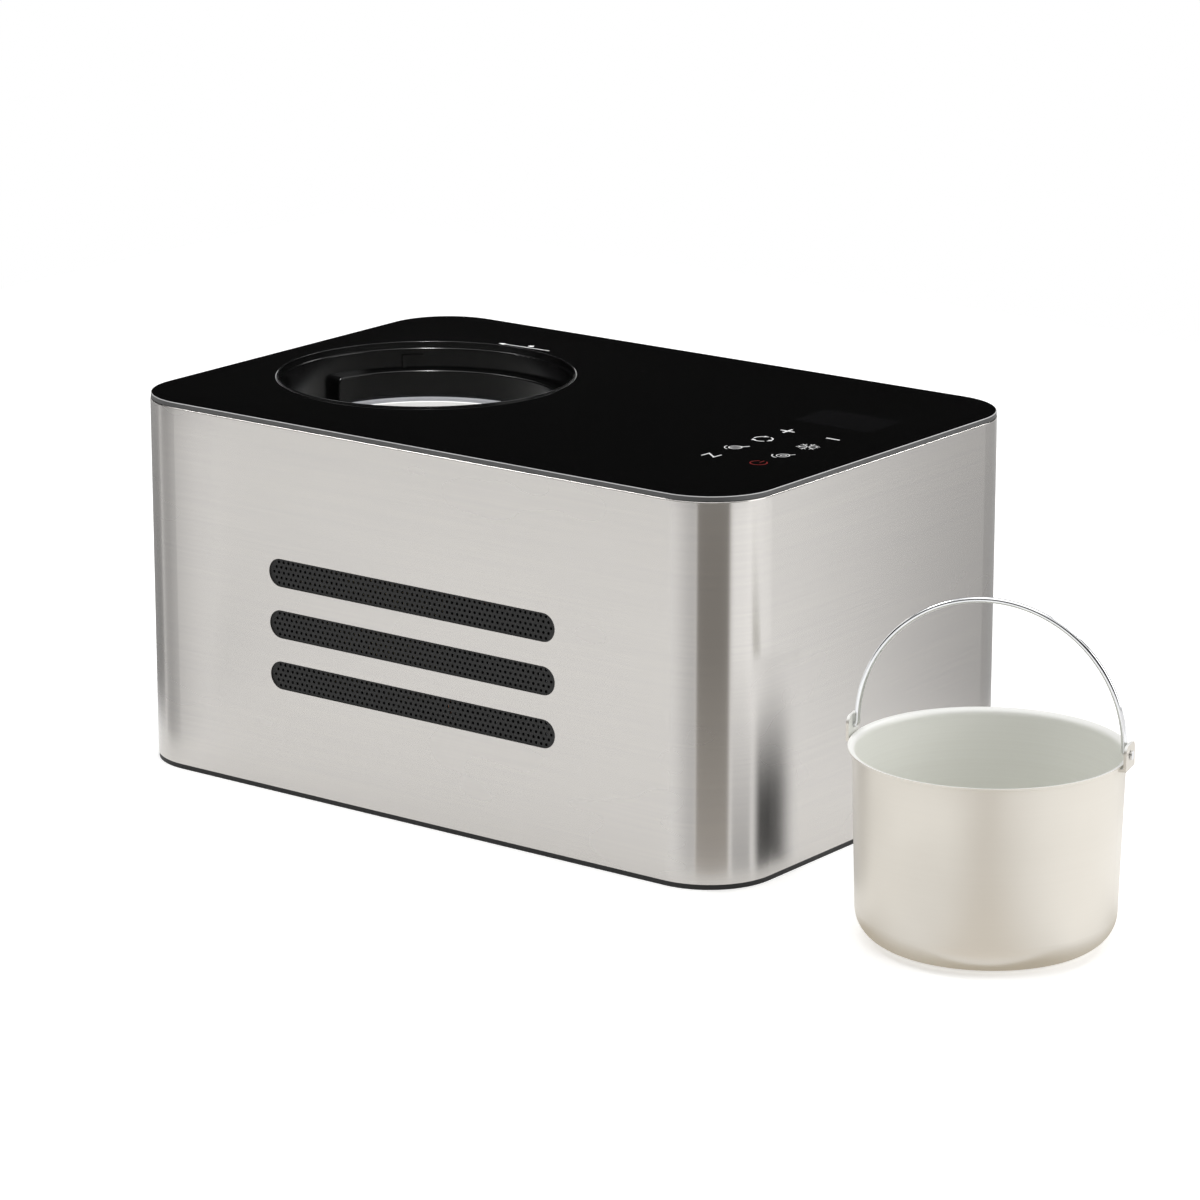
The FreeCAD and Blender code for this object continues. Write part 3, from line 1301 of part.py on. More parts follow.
def drier_clip():
    """Strap round the drier on a foot on the tray."""
    start = "((drier_front + drier_back) / 2 - clip_width / 2)"
    end = f"{start} + clip_width"
    axis = ("drier_x", start, "drier_z")
    ring = rod("clip_ring", "drier_radius + thread_gap + sheet_steel", axis, "clip_width", "y")
    hole = rod("clip_hole", "drier_radius + thread_gap", axis, "clip_width", "y")
    leg = block("clip_leg", ("drier_x - sheet_steel / 2", start, "tray_floor"),
                ("drier_x + sheet_steel / 2", end, "drier_z - drier_radius - sheet_steel / 2"))
    foot = block("clip_foot", ("drier_x - clip_width / 2", start, "tray_floor"),
                 ("drier_x + clip_width / 2", end, "tray_floor + sheet_steel"))
    return cut("drier_clip", fuse("clip_blank", ring, leg, foot), hole)


def capillary_tube():
    """Thin tube from the drier over the machinery to the evaporator's lower end."""
    rise_y = "drier_back + tube_bend * 1.5"
    drop_x = "partition_face + tube_bend * 5"
    points = points_of(
        ("drier_x", "drier_back", "drier_z"),
        ("drier_x", rise_y, "drier_z"),
        ("drier_x", rise_y, "can_top + capillary_rise"),
        (drop_x, rise_y, "can_top + capillary_rise"),
        (drop_x, rise_y, "coil_low_z"),
        (drop_x, "well_tube_y", "coil_low_z"),
    )
    well_end = list(reversed(well_exit("coil_low_z")))
    path = bent_path(points + well_end, value("tube_bend"))
    return feature("capillary_tube", sweep(path, value("capillary_radius"), value("capillary_bore")))


# Fan

def fan_corner_rods(name, radius, start, length):
    """Four cylinders at the fan's screws."""
    rods = []
    for n, (a, b) in enumerate(SIGNS):
        spot = (f"fan_x + {a}fan_hole_reach", start, f"fan_z + {b}fan_hole_reach")
        rods.append(rod(f"{name}_{n}", radius, spot, length, "y"))
    return rods


def fan_shroud():
    """Plate between condenser and fan, on the end plates' back edges."""
    plate = block("shroud_plate", ("condenser_x", "shroud_front", "tray_floor"),
                  ("condenser_end", "fan_front", "fin_high + plate_overlap"))
    before = "shroud_front - 1"
    through = "shroud_thickness + 2"
    hole = rod("shroud_hole", "fan_bore", ("fan_x", before, "fan_z"), through, "y")
    return cut("fan_shroud", plate, hole, *fan_corner_rods("shroud_pilot", "screw_hole", before, through))


def fan_frame():
    """Square frame with spokes, hub and bearing tube."""
    half = "(fan_size / 2)"
    before = "fan_front - 1"
    through = "fan_depth + 2"
    square = block("fan_block", (f"fan_x - {half}", "fan_front", f"fan_z - {half}"),
                   (f"fan_x + {half}", "fan_back", f"fan_z + {half}"))
    air = rod("fan_air", "fan_bore", ("fan_x", before, "fan_z"), through, "y")
    ring = cut("fan_ring", square, air, *fan_corner_rods("fan_hole", "screw_hole", before, through))
    back = "(fan_back - spoke)"
    reach = "(fan_bore + 1)"
    level = block("spoke_level", (f"fan_x - {reach}", back, "fan_z - spoke / 2"),
                  (f"fan_x + {reach}", "fan_back", "fan_z + spoke / 2"))
    upright = block("spoke_upright", ("fan_x - spoke / 2", back, f"fan_z - {reach}"),
                    ("fan_x + spoke / 2", "fan_back", f"fan_z + {reach}"))
    hub = rod("fan_hub_plate", "fan_hub", ("fan_x", back, "fan_z"), "spoke", "y")
    nose = ("fan_x", "fan_front + spoke * 1.5", "fan_z")
    tube = rod("bearing_tube", "bearing_radius", nose, "fan_depth - spoke * 2", "y")
    bore = rod("bearing_bore", "shaft_radius + thread_gap", ("fan_x", "fan_front", "fan_z"),
               "fan_depth - spoke / 4", "y")
    return cut("fan_frame", fuse("fan_body", ring, hub, tube, level, upright), bore)


def fan_stator():
    """Motor windings on the bearing tube, inside the rotor's cup."""
    start = ("fan_x", "fan_front + spoke * 1.5", "fan_z")
    length = "fan_depth - spoke * 2.5"
    outer = rod("stator_outside", "fan_hub - spoke", start, length, "y")
    inner = rod("stator_inside", "bearing_radius + thread_gap", start, length, "y")
    return cut("fan_stator", outer, inner)


def fan_rotor():
    """Cup with shaft and pitched blades."""
    axis = Vector(0, 1, 0)
    centre = Vector(value("fan_x"), value("fan_front + 1"), value("fan_z"))
    hub = value("fan_hub")
    cup_depth = value("fan_depth - spoke * 1.5 - 1")
    cup_wall = value("spoke / 2")
    tip = value("fan_bore - fan_tip_gap")
    cup = Part.makeCylinder(hub, cup_depth, centre, axis)
    inside = Part.makeCylinder(hub - cup_wall, cup_depth, centre + axis * cup_wall, axis)
    shaft_end = value("fan_depth - spoke / 4 - 1.5")
    shaft = Part.makeCylinder(value("shaft_radius"), shaft_end, centre, axis)
    thickness = value("blade_thickness")
    chord = value("blade_chord")
    blades = []
    for index in range(int(value("fan_blades"))):
        blade = Part.makeBox(chord, thickness, tip)
        blade.translate(Vector(-chord / 2, -thickness / 2, hub - cup_wall / 2))
        blade.rotate(Vector(), UP, value("blade_angle"))
        blade.rotate(Vector(), axis, index * 360 / value("fan_blades"))
        blade.translate(centre + axis * (cup_depth / 2))
        blades.append(blade)
    swept = Part.makeCylinder(tip, cup_depth - cup_wall, centre + axis * (cup_wall / 2), axis)
    wheel = [blade.common(swept) for blade in blades]
    return feature("fan_rotor", cup.cut(inside).fuse([shaft] + wheel).removeSplitter())


def fan_screws():
    """Screws through the frame into the shroud."""
    heads = fan_corner_rods("fan_head", "screw_head", "fan_back", "screw_radius")
    length = "fan_depth + shroud_thickness + screw_radius / 2"
    shanks = fan_corner_rods("fan_shank", "screw_radius", "shroud_front", length)
    return group("fan_screws", *(fuse(f"fan_screw_{n}", *pair) for n, pair in enumerate(zip(heads, shanks))))


# Electrics

def partition_plate():
    """Folded plate between the well and the machinery, with holes for the tubes."""
    corner = ("partition_x", "partition_front", "tray_floor")
    wall = block("partition_wall", corner, ("partition_face", "partition_back", "partition_top"))
    foot = block("partition_flange", corner,
                 ("partition_x + partition_foot", "partition_back", "tray_floor + sheet_steel"))
    holes = []
    for n, level in enumerate(("coil_low_z", "coil_top")):
        spot = ("partition_x - 1", "well_tube_y", level)
        holes.append(rod(f"partition_hole_{n}", "tube_radius + fit_gap", spot, "sheet_steel + 2", "x"))
    return cut("partition_plate", fuse("partition_blank", wall, foot), *holes)


def power_board():
    """Upright board on standoffs on the partition."""
    return block("power_board", ("partition_face + standoff", "power_y", "power_z"),
                 ("power_face", "power_y + power_width", "power_z + power_height"))


def board_standoffs():
    """Standoffs between partition and power board."""
    spots = [(y, z) for y in ("power_y + board_margin", "power_y + power_width - board_margin")
             for z in ("power_z + board_margin", "power_z + power_height - board_margin")]
    posts = [rod(f"standoff_{n}", "board_margin * 0.6", ("partition_face", y, z), "standoff", "x")
             for n, (y, z) in enumerate(spots)]
    return group("board_standoffs", *posts)


def power_transformer():
    """Transformer of the power board."""
    y = "(power_y + board_margin)"
    z = "(power_z + power_height - board_margin - transformer_height)"
    high = ("power_face + transformer_depth", f"{y} + transformer_width", f"{z} + transformer_height")
    return block("power_transformer", ("power_face", y, z), high)


def board_components():
    """Relay, capacitors and lead connectors of the power board."""
    relay_y = "(power_y + board_margin * 3 + transformer_width)"
    relay_z = "(power_z + power_height - board_margin - relay_height)"
    high = ("power_face + relay_depth", f"{relay_y} + relay_width", f"{relay_z} + relay_height")
    pieces = [block("relay", ("power_face", relay_y, relay_z), high)]
    for n in range(2):
        spot = ("power_face", f"power_y + power_width - connector_size - {n} * capacitor_radius * 2.5",
                "power_z + connector_size * 4.2")
        pieces.append(rod(f"capacitor_{n}", "capacitor_radius", spot, "capacitor_length", "x"))
    half = "connector_size / 2"
    for n, (y, z) in enumerate(lead_starts()):
        pieces.append(block(f"connector_{n}", ("power_face", f"{y} - {half}", f"{z} - {half}"),
                            ("power_face + standoff", f"{y} + {half}", f"{z} + {half}")))
    return group("board_components", *pieces)


def lead_starts():
    """Y and Z of the connectors for inlet, compressor, fan and touch board."""
    return (
        ("power_y + power_width - connector_size * 1.5", "power_z + connector_size"),
        ("power_y + power_width - connector_size * 2", "power_z + connector_size * 2.5"),
        ("power_y + connector_size", "power_z + connector_size / 2"),
        ("power_y + power_width - connector_size", "power_z + power_height - connector_size * 1.5"),
    )


def wiring_harness():
    """Leads from the power board to inlet, compressor, fan and touch board."""
    start_x = "power_face + standoff"
    mains, can, fan, touch = lead_starts()
    can_x = "terminal_face + tube_bend"
    rise_x = f"{start_x} + tube_bend * 1.6"
    run_z = "deck_under - lead_headroom"
    touch_x = "window_left + touch_margin"
    corner_x = "fan_x - fan_size / 2 + wire_radius * 1.5"
    corner_z = "fan_z - fan_hole_reach + spoke * 3"
    routes = (
        ((start_x, *mains), ("inlet_x", *mains), ("inlet_x", "body_width / 2 - inlet_depth", mains[1])),
        ((start_x, *can), (can_x, *can), (can_x, "compressor_y + terminal_width / 2", can[1])),
        ((start_x, *fan), (corner_x, *fan), (corner_x, "0", corner_z), (corner_x, "fan_back", corner_z)),
        ((start_x, *touch), (rise_x, *touch), (rise_x, touch[0], run_z), (touch_x, "display_y", run_z),
         (touch_x, "display_y", "touch_top - board_thickness")),
    )
    bend = value("lead_bend")
    leads = [sweep(bent_path(points_of(*route), bend), value("wire_radius")) for route in routes]
    return feature("wiring_harness", Part.makeCompound(leads))


def mains_inlet():
    """Appliance inlet with a flange outside the steel and an open socket."""
    steel = "(body_width / 2)"
    face = f"{steel} + inlet_flange"
    back = f"{steel} - inlet_depth"

    def case(name, grow, start, end):
        half_x = f"(inlet_width / 2 + {grow})"
        half_z = f"(inlet_height / 2 + {grow})"
        return block(name, (f"inlet_x - {half_x}", start, f"inlet_z - {half_z}"),
                     (f"inlet_x + {half_x}", end, f"inlet_z + {half_z}"))

    flange = case("inlet_flange_plate", "inlet_lip", steel, face)
    box = case("inlet_case", "0", back, face)
    socket = case("inlet_socket", "-inlet_wall", f"{back} + inlet_wall * 2", f"{face} + 1")
    return cut("mains_inlet", fuse("inlet_blank", flange, box), socket)


def inlet_pins():
    """Three blades in the inlet's socket."""
    start = "(body_width / 2 - inlet_depth + inlet_wall * 2)"
    places = (("-pin_spread", "-pin_drop"), ("pin_spread", "-pin_drop"), ("0", "earth_rise"))
    pins = []
    for n, (x, z) in enumerate(places):
        low = (f"inlet_x + {x} - pin_width / 2", start, f"inlet_z + {z} - pin_height / 2")
        high = (f"inlet_x + {x} + pin_width / 2", f"{start} + pin_length", f"inlet_z + {z} + pin_height / 2")
        pins.append(block(f"inlet_pin_{n}", low, high))
    return group("inlet_pins", *pins)


def touch_board():
    """Board under the glass, screwed to the frame's bosses."""
    board = block("touch_board_blank", ("window_left - touch_margin", "window_front - touch_margin",
                                        "touch_top - board_thickness"),
                  ("window_right + touch_margin", "window_back + touch_margin", "touch_top"))
    holes = [rod(f"touch_hole_{n}", "small_screw + thread_gap", (x, y, "touch_top - board_thickness - 1"),
                 "board_thickness + 2") for n, (x, y) in enumerate(touch_fixings())]
    return cut("touch_board", board, *holes)


def touch_board_screws():
    """Screws that hold the touch board."""
    screws = []
    under = "touch_top - board_thickness"
    length = "small_screw / 2 + board_thickness + deck_thickness"
    for n, (x, y) in enumerate(touch_fixings()):
        head = rod(f"touch_head_{n}", "small_screw * 2", (x, y, f"{under} - small_screw"), "small_screw")
        shank = rod(f"touch_shank_{n}", "small_screw", (x, y, f"{under} - small_screw / 2"), length)
        screws.append(fuse(f"touch_screw_{n}", head, shank))
    return group("touch_board_screws", *screws)


def touch_springs():
    """Sensing springs between touch board and glass, one under each key."""
    springs = []
    for side, x in (("left", "key_left_x"), ("right", "key_right_x")):
        for n in range(int(value("key_count"))):
            axis = (x, f"key_low_y + {n} * key_pitch", "touch_top")
            outer = rod(f"spring_{side}_{n}_outside", "spring_radius", axis, "touch_gap")
            inner = rod(f"spring_{side}_{n}_inside", "spring_radius - spring_wall", axis, "touch_gap")
            springs.append(cut(f"spring_{side}_{n}", outer, inner))
    return group("touch_springs", *springs)


def display_module():
    """Display under the glass, on the touch board."""
    half_x = "display_width / 2"
    half_y = "display_length / 2"
    low = (f"display_x - {half_x}", f"display_y - {half_y}", "touch_top")
    high = (f"display_x + {half_x}", f"display_y + {half_y}", "glass_under - glass_bond")
    return block("display_module", low, high)


# Bowl

def bowl_place(item, turn="0"):
    """Stand a piece of the bowl where the bowl stands, turned with its ears."""
    rotation = FreeCAD.Rotation(UP, value(f"bail_turn + {turn}"))
    item.Placement = FreeCAD.Placement(Vector(value("bowl_x"), value("bowl_y"), 0), rotation)
    place(item, "bowl_x", "bowl_y")
    return item


def bowl():
    """Drawn bowl with a flared rim."""
    body = doc.addObject("PartDesign::Body", "bowl")
    inner_top = "bowl_top_radius - bowl_wall"
    inner_foot = "bowl_foot_radius - bowl_wall"
    revolve(body, "bowl_profile", (
        ("0", "0"), ("bowl_foot_radius", "0"), ("bowl_top_radius", "rim_under"),
        ("bowl_rim_radius", "rim_under"), ("bowl_rim_radius", "bowl_height"),
        (inner_top, "bowl_height"), (inner_foot, "bowl_wall"), ("0", "bowl_wall"),
    ))
    round_edges(body, "bowl_foot_outside", "bowl_round", ring_at("bowl_foot_radius", "0"))
    round_edges(body, "bowl_foot_inside", "bowl_round - bowl_wall", ring_at(inner_foot, "bowl_wall"))
    round_edges(body, "bowl_rim_inside", "rim_flare", ring_at(inner_top, "bowl_height"))
    round_edges(body, "bowl_rim_under", "rim_edge", ring_at("bowl_rim_radius", "rim_under"))
    return bowl_place(body)


def bail_ear(name, turn):
    """Bent ear under the rim with the bail's hole."""
    body = doc.addObject("PartDesign::Body", name)
    foot_top = "rim_under - weld_gap"
    foot_under = f"{foot_top} - ear_sheet"
    ear_top = "rim_under + ear_height"
    inner_end = "ear_inside - ear_foot + ear_sheet / 2"
    side = sketch_on(body, f"{name}_side", "XZ_Plane")
    polygon(side, (
        (inner_end, foot_under), ("ear_outside", foot_under), ("ear_outside", ear_top),
        ("ear_inside", ear_top), ("ear_inside", foot_top), (inner_end, foot_top),
    ))
    pad(body, side, "ear_width", midplane=True)
    top = value(ear_top)
    half_width = value("ear_width / 2")

    def corner(edge):
        box = edge.BoundBox
        high = abs(box.ZMin - top) < 1e-4 and abs(box.ZMax - top) < 1e-4
        return high and box.YLength < 1e-4 and abs(abs(box.YMin) - half_width) < 1e-4
    round_edges(body, f"{name}_corners", "ear_corner", corner)
    hole = sketch_on(body, f"{name}_hole", "YZ_Plane", "ear_outside + 1")
    circle(hole, "0", "pivot", "bail_wire_radius + thread_gap")
    pocket(body, hole, "ear_sheet + 2")
    return bowl_place(body, turn)


def bail_wire():
    """Wire handle: a half circle on two legs whose bent ends turn in the ears and are peened outside."""
    span = value("bail_half_span")
    level = value("pivot")
    bend = value("bail_bend")
    shoulder = level + value("bail_height - bail_half_span")
    pin_end = value("ear_outside + fit_gap + rivet_height")

    def end_of_wire(side):
        corner = Vector(side * span, 0, level)
        out = Vector(side, 0, 0)
        slant = 1 - math.sqrt(0.5)
        arc = Part.Arc(corner + out * bend, corner + (out + UP) * (bend * slant), corner + UP * bend)
        return [Part.makeLine(Vector(side * pin_end, 0, level), corner + out * bend), arc.toShape(),
                Part.makeLine(corner + UP * bend, Vector(side * span, 0, shoulder))]

    diagonal = span * math.sqrt(0.5)
    top = Vector(0, 0, shoulder + span)
    rising = Part.Arc(Vector(span, 0, shoulder), Vector(diagonal, 0, shoulder + diagonal), top).toShape()
    falling = Part.Arc(top, Vector(-diagonal, 0, shoulder + diagonal), Vector(-span, 0, shoulder)).toShape()
    path = Part.Wire(end_of_wire(1) + [rising, falling] + list(reversed(end_of_wire(-1))))
    wire = sweep(path, value("bail_wire_radius"))
    reach = value("ear_outside + fit_gap")
    size = (value("rivet_radius"), value("rivet_height"))
    ends = [(Vector(side * reach, 0, level), Vector(side, 0, 0)) for side in (1, -1)]
    heads = [Part.makeCylinder(*size, *end) for end in ends]
    return bowl_place(feature("bail_wire", wire.fuse(heads).removeSplitter()))


BUILDERS = (
    base_tray, rubber_pads, steel_sleeve, tie_posts, base_screws, frame_screws, top_frame, top_glass,
    collar_ring, chamber_seal, chamber_liner, chamber_screws, evaporator_coil, foam_front, foam_rear,
    well_stand, chamber_sensor, compressor_base_plate, compressor_grommets, compressor_bolts,
    compressor_terminal_cover, discharge_line, suction_line, condenser_coil, condenser_fins,
    condenser_end_plates, liquid_line, filter_drier, drier_clip, capillary_tube, fan_shroud, fan_frame,
    fan_stator, fan_rotor, fan_screws, partition_plate, power_board, board_standoffs, power_transformer,
    board_components, wiring_harness, mains_inlet, inlet_pins, touch_board, touch_board_screws,
    touch_springs, display_module, bowl, bail_wire,
)

for builder in BUILDERS:
    keep(builder.__name__, builder())
keep("front_grille", grille("front_grille", value("steel_wall - body_width / 2"), 1, perforation))
keep("rear_grille", grille("rear_grille", value("body_width / 2 - steel_wall"), -1, louvres))
keep("compressor_lower_shell", compressor_shell("compressor_lower_shell", "can_foot", True, "1"))
keep("compressor_upper_shell", compressor_shell("compressor_upper_shell", "can_top", False, "-1"))
keep("bail_ear_right", bail_ear("bail_ear_right", "0"))
keep("bail_ear_left", bail_ear("bail_ear_left", "180"))
doc.recompute()

failed = [item.Name for item in doc.Objects if {"Invalid", "Error"} & set(item.State)]
failed += [name for name, item in nodes.items() if item.Shape.isNull() or not item.Shape.isValid()]
if failed:
    raise RuntimeError(f"not built: {failed}")
os.makedirs("parts", exist_ok=True)
for name, item in nodes.items():
    item.Shape.exportStep(f"parts/{name}.step")
print(len(nodes), "nodes written")
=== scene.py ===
"""Dresses the packed ice cream maker and its removable bowl, and sets a pale studio around them.

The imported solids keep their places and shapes. Each gets the finish of its real material, the marks on the black
glass top are printed as thin pieces, and lamps, cards and a camera stand around it all. Names that end in _mm hold
millimetres; every other length is in metres, in the frame of the solids.
"""

import logging
import math
from collections.abc import Sequence
from dataclasses import dataclass
from enum import Enum

import bmesh
import bpy
from mathutils import Matrix, Vector


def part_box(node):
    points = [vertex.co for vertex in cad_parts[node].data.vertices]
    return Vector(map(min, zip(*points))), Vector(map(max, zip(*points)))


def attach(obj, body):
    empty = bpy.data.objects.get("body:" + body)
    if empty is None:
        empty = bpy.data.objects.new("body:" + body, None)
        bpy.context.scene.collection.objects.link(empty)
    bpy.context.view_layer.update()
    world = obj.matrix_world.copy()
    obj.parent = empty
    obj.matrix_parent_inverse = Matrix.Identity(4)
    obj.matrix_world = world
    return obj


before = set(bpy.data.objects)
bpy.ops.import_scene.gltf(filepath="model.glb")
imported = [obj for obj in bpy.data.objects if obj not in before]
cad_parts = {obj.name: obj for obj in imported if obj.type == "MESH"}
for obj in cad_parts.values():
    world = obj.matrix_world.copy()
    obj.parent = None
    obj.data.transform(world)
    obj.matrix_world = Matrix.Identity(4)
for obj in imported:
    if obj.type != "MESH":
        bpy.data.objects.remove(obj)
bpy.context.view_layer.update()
MM = 0.001
log = logging.getLogger("ice_cream_maker")

Point = tuple[float, float]
Colour = tuple[float, float, float, float]


def linear(code: str) -> Colour:
    """Turn an sRGB hex colour into linear light.

    Args:
        code: a hash sign and six hex digits.

    Returns:
        Linear red, green and blue, and an alpha of one.
    """
    channels = []
    for start in (1, 3, 5):
        share = int(code[start:start + 2], 16) / 255
        channels.append(share / 12.92 if share <= 0.04045 else ((share + 0.055) / 1.055) ** 2.4)
    return (channels[0], channels[1], channels[2], 1.0)


def add(tree: bpy.types.NodeTree, kind: str, inputs: dict[str | int, object] | None = None,
        **settings: object) -> bpy.types.Node:
    """Add one shader node with its settings and links.

    Args:
        tree: the node tree that takes the node.
        kind: the node's type name.
        inputs: a value or a linked output for each input, by the input's name or number.
        settings: the node's own properties.

    Returns:
        The new node.
    """
    node = tree.nodes.new(kind)
    for name, value in settings.items():
        setattr(node, name, value)
    for name, value in (inputs or {}).items():
        if isinstance(value, bpy.types.NodeSocket):
            tree.links.new(value, node.inputs[name])
        else:
            node.inputs[name].default_value = value
    return node


def grain(tree: bpy.types.NodeTree, size_mm: Sequence[float], detail: float = 2.0) -> bpy.types.NodeSocket:
    """Make a noise pattern of a real size, fixed to the piece that wears it.

    Args:
        tree: the node tree of the material.
        size_mm: the size of one grain along X, Y and Z.
        detail: how many finer octaves lie on it.

    Returns:
        The pattern's strength, about 0.5 on average.
    """
    place = add(tree, "ShaderNodeTexCoord")
    scaled = add(tree, "ShaderNodeMapping",
                 {"Vector": place.outputs["Object"], "Scale": [1 / (MM * size) for size in size_mm]})
    noise = add(tree, "ShaderNodeTexNoise",
                {"Vector": scaled.outputs["Vector"], "Scale": 1.0, "Detail": detail, "Roughness": 0.55})
    return noise.outputs["Fac"]


def spread(tree: bpy.types.NodeTree, source: bpy.types.NodeSocket, low: float, high: float,
           start: float = 0.3, stop: float = 0.7) -> bpy.types.NodeSocket:
    """Bring a pattern's strength to the range that a socket needs.

    Args:
        tree: the node tree of the material.
        source: the pattern.
        low: the result where the pattern is at start or under it.
        high: the result where the pattern is at stop or over it.
        start: the pattern's lower limit.
        stop: the pattern's upper limit.

    Returns:
        The result's output.
    """
    return add(tree, "ShaderNodeMapRange",
               {"Value": source, "From Min": start, "From Max": stop, "To Min": low, "To Max": high}).outputs[0]


def blend_colours(tree: bpy.types.NodeTree, share: bpy.types.NodeSocket, first: str | bpy.types.NodeSocket,
                  second: str | bpy.types.NodeSocket) -> bpy.types.NodeSocket:
    """Mix two colours by a pattern.

    Args:
        tree: the node tree of the material.
        share: how much of the second colour shows, from 0 to 1.
        first: a hex colour or an output.
        second: a hex colour or an output.

    Returns:
        The mixed colour's output.
    """
    pair = [linear(colour) if isinstance(colour, str) else colour for colour in (first, second)]
    return add(tree, "ShaderNodeMix", {0: share, 6: pair[0], 7: pair[1]}, data_type="RGBA").outputs[2]


def relief(tree: bpy.types.NodeTree, height: bpy.types.NodeSocket, depth_mm: float,
           strength: float = 1.0) -> bpy.types.NodeSocket:
    """Turn a pattern into surface relief.

    Args:
        tree: the node tree of the material.
        height: the pattern.
        depth_mm: the relief's real depth.
        strength: how much of it shows.

    Returns:
        The bent normal's output.
    """
    return add(tree, "ShaderNodeBump",
               {"Height": height, "Distance": depth_mm * MM, "Strength": strength}).outputs["Normal"]


@dataclass(frozen=True)
class Finish:
    """A real material and how its surface was made."""

    name: str

    def material(self) -> bpy.types.Material:
        """Make the material at its first use.

        Returns:
            The material that carries this finish's name.
        """
        found = bpy.data.materials.get(self.name)
        if found is None:
            found = bpy.data.materials.new(self.name)
            found.use_nodes = True
            found.node_tree.nodes.clear()
            add(found.node_tree, "ShaderNodeOutputMaterial", {"Surface": self.shade(found.node_tree)})
        return found

    def shade(self, tree: bpy.types.NodeTree) -> bpy.types.NodeSocket:
        """Build the shader; each kind of finish has its own."""
        raise NotImplementedError(self.name)


@dataclass(frozen=True)
class BrushedSteel(Finish):
    """Stainless sheet brushed level all round, so reflections smear upright."""

    bright: str = "#c5c2be"
    dull: str = "#c2bfbc"
    roughness: float = 0.27
    anisotropy: float = 0.8
    streak_mm: tuple[float, float, float] = (120.0, 120.0, 1.5)
    cloud_mm: tuple[float, float, float] = (120.0, 120.0, 60.0)
    roughness_drift: float = 0.006

    def shade(self, tree: bpy.types.NodeTree) -> bpy.types.NodeSocket:
        """Build the brushed shader.

        Args:
            tree: the node tree of the material.

        Returns:
            The shader's output.
        """
        # Real brush lines are 0.1 to 0.2 mm apart, finer than a pixel, so they are drawn 1.5 mm apart.
        streaks = grain(tree, self.streak_mm, detail=1.0)
        clouds = grain(tree, self.cloud_mm)
        around = add(tree, "ShaderNodeTangent", direction_type="RADIAL", axis="Z")
        return add(tree, "ShaderNodeBsdfPrincipled", {
            "Base Color": blend_colours(tree, spread(tree, streaks, 0.0, 1.0), self.dull, self.bright),
            "Metallic": 1.0, "Roughness": spread(tree, clouds, self.roughness - self.roughness_drift,
                                                 self.roughness + self.roughness_drift),
            "Anisotropic": self.anisotropy,
            "Anisotropic Rotation": 0.25, "Tangent": around.outputs[0]}).outputs[0]


@dataclass(frozen=True)
class TurnedMetal(Finish):
    """Sheet metal drawn or spun about an upright axis, with fine rings round it."""

    axis_mm: Point = (0.0, 0.0)
    outside: str = "#dedad3"
    inside: str = "#d3d5d2"
    top_highlight: str = "#f6f6f3"
    roughness: float = 0.4
    ring_mm: float = 0.6
    ring_depth_mm: float = 0.004
    ring_shade: str = "#c9c5be"
    ring_share: float = 0.25
    metal_inside: float = 1.0
    metal_outside: float = 1.0
    top_highlight_metal: float = 0.1
    top_highlight_tilt: Point = (0.3, 0.7)
    facing_band: float = 0.004
    smudge_mm: float = 40.0
    roughness_drift: float = 0.04

    def shade(self, tree: bpy.types.NodeTree) -> bpy.types.NodeSocket:
        """Build the ringed shader, with its own colours where the wall faces the axis, and a painted highlight where
        it faces up.

        Args:
            tree: the node tree of the material.

        Returns:
            The shader's output.
        """
        place = add(tree, "ShaderNodeTexCoord")
        centred = add(tree, "ShaderNodeVectorMath", {
            0: place.outputs["Object"], 1: (self.axis_mm[0] * MM, self.axis_mm[1] * MM, 0.0)}, operation="SUBTRACT")
        level = add(tree, "ShaderNodeVectorMath", {0: centred.outputs[0], 1: (1.0, 1.0, 0.0)}, operation="MULTIPLY")
        radius = add(tree, "ShaderNodeVectorMath", {0: level.outputs[0]}, operation="LENGTH")
        height = add(tree, "ShaderNodeSeparateXYZ", {0: centred.outputs[0]})
        rings = add(tree, "ShaderNodeCombineXYZ", {0: radius.outputs["Value"], 1: height.outputs["Z"]})
        ring = add(tree, "ShaderNodeTexNoise", {
            "Vector": rings.outputs[0], "Scale": 1 / (self.ring_mm * MM), "Detail": 2.0}).outputs["Fac"]
        facing = add(tree, "ShaderNodeVectorMath", {0: place.outputs["Normal"], 1: level.outputs[0]},
                     operation="DOT_PRODUCT")
        outward = spread(tree, facing.outputs["Value"], 0.0, 1.0, -self.facing_band, self.facing_band)
        # Where the surface turns up, its colour becomes a painted highlight, and the metal falls away so that the
        # highlight shows.
        tilt = add(tree, "ShaderNodeSeparateXYZ", {0: place.outputs["Normal"]}).outputs["Z"]
        upward = spread(tree, tilt, 0.0, 1.0, *self.top_highlight_tilt)
        wall = blend_colours(tree, upward, blend_colours(tree, outward, self.inside, self.outside), self.top_highlight)
        metal = add(tree, "ShaderNodeMath", {
            0: spread(tree, outward, self.metal_inside, self.metal_outside, 0.0, 1.0),
            1: spread(tree, upward, 1.0, self.top_highlight_metal, 0.0, 1.0)}, operation="MULTIPLY")
        smudge = grain(tree, (self.smudge_mm,) * 3)
        return add(tree, "ShaderNodeBsdfPrincipled", {
            "Base Color": blend_colours(tree, spread(tree, ring, 0.0, self.ring_share), wall, self.ring_shade),
            "Metallic": metal.outputs[0],
            "Roughness": spread(tree, smudge, self.roughness - self.roughness_drift,
                                self.roughness + self.roughness_drift),
            "Normal": relief(tree, ring, self.ring_depth_mm, 0.5)}).outputs[0]


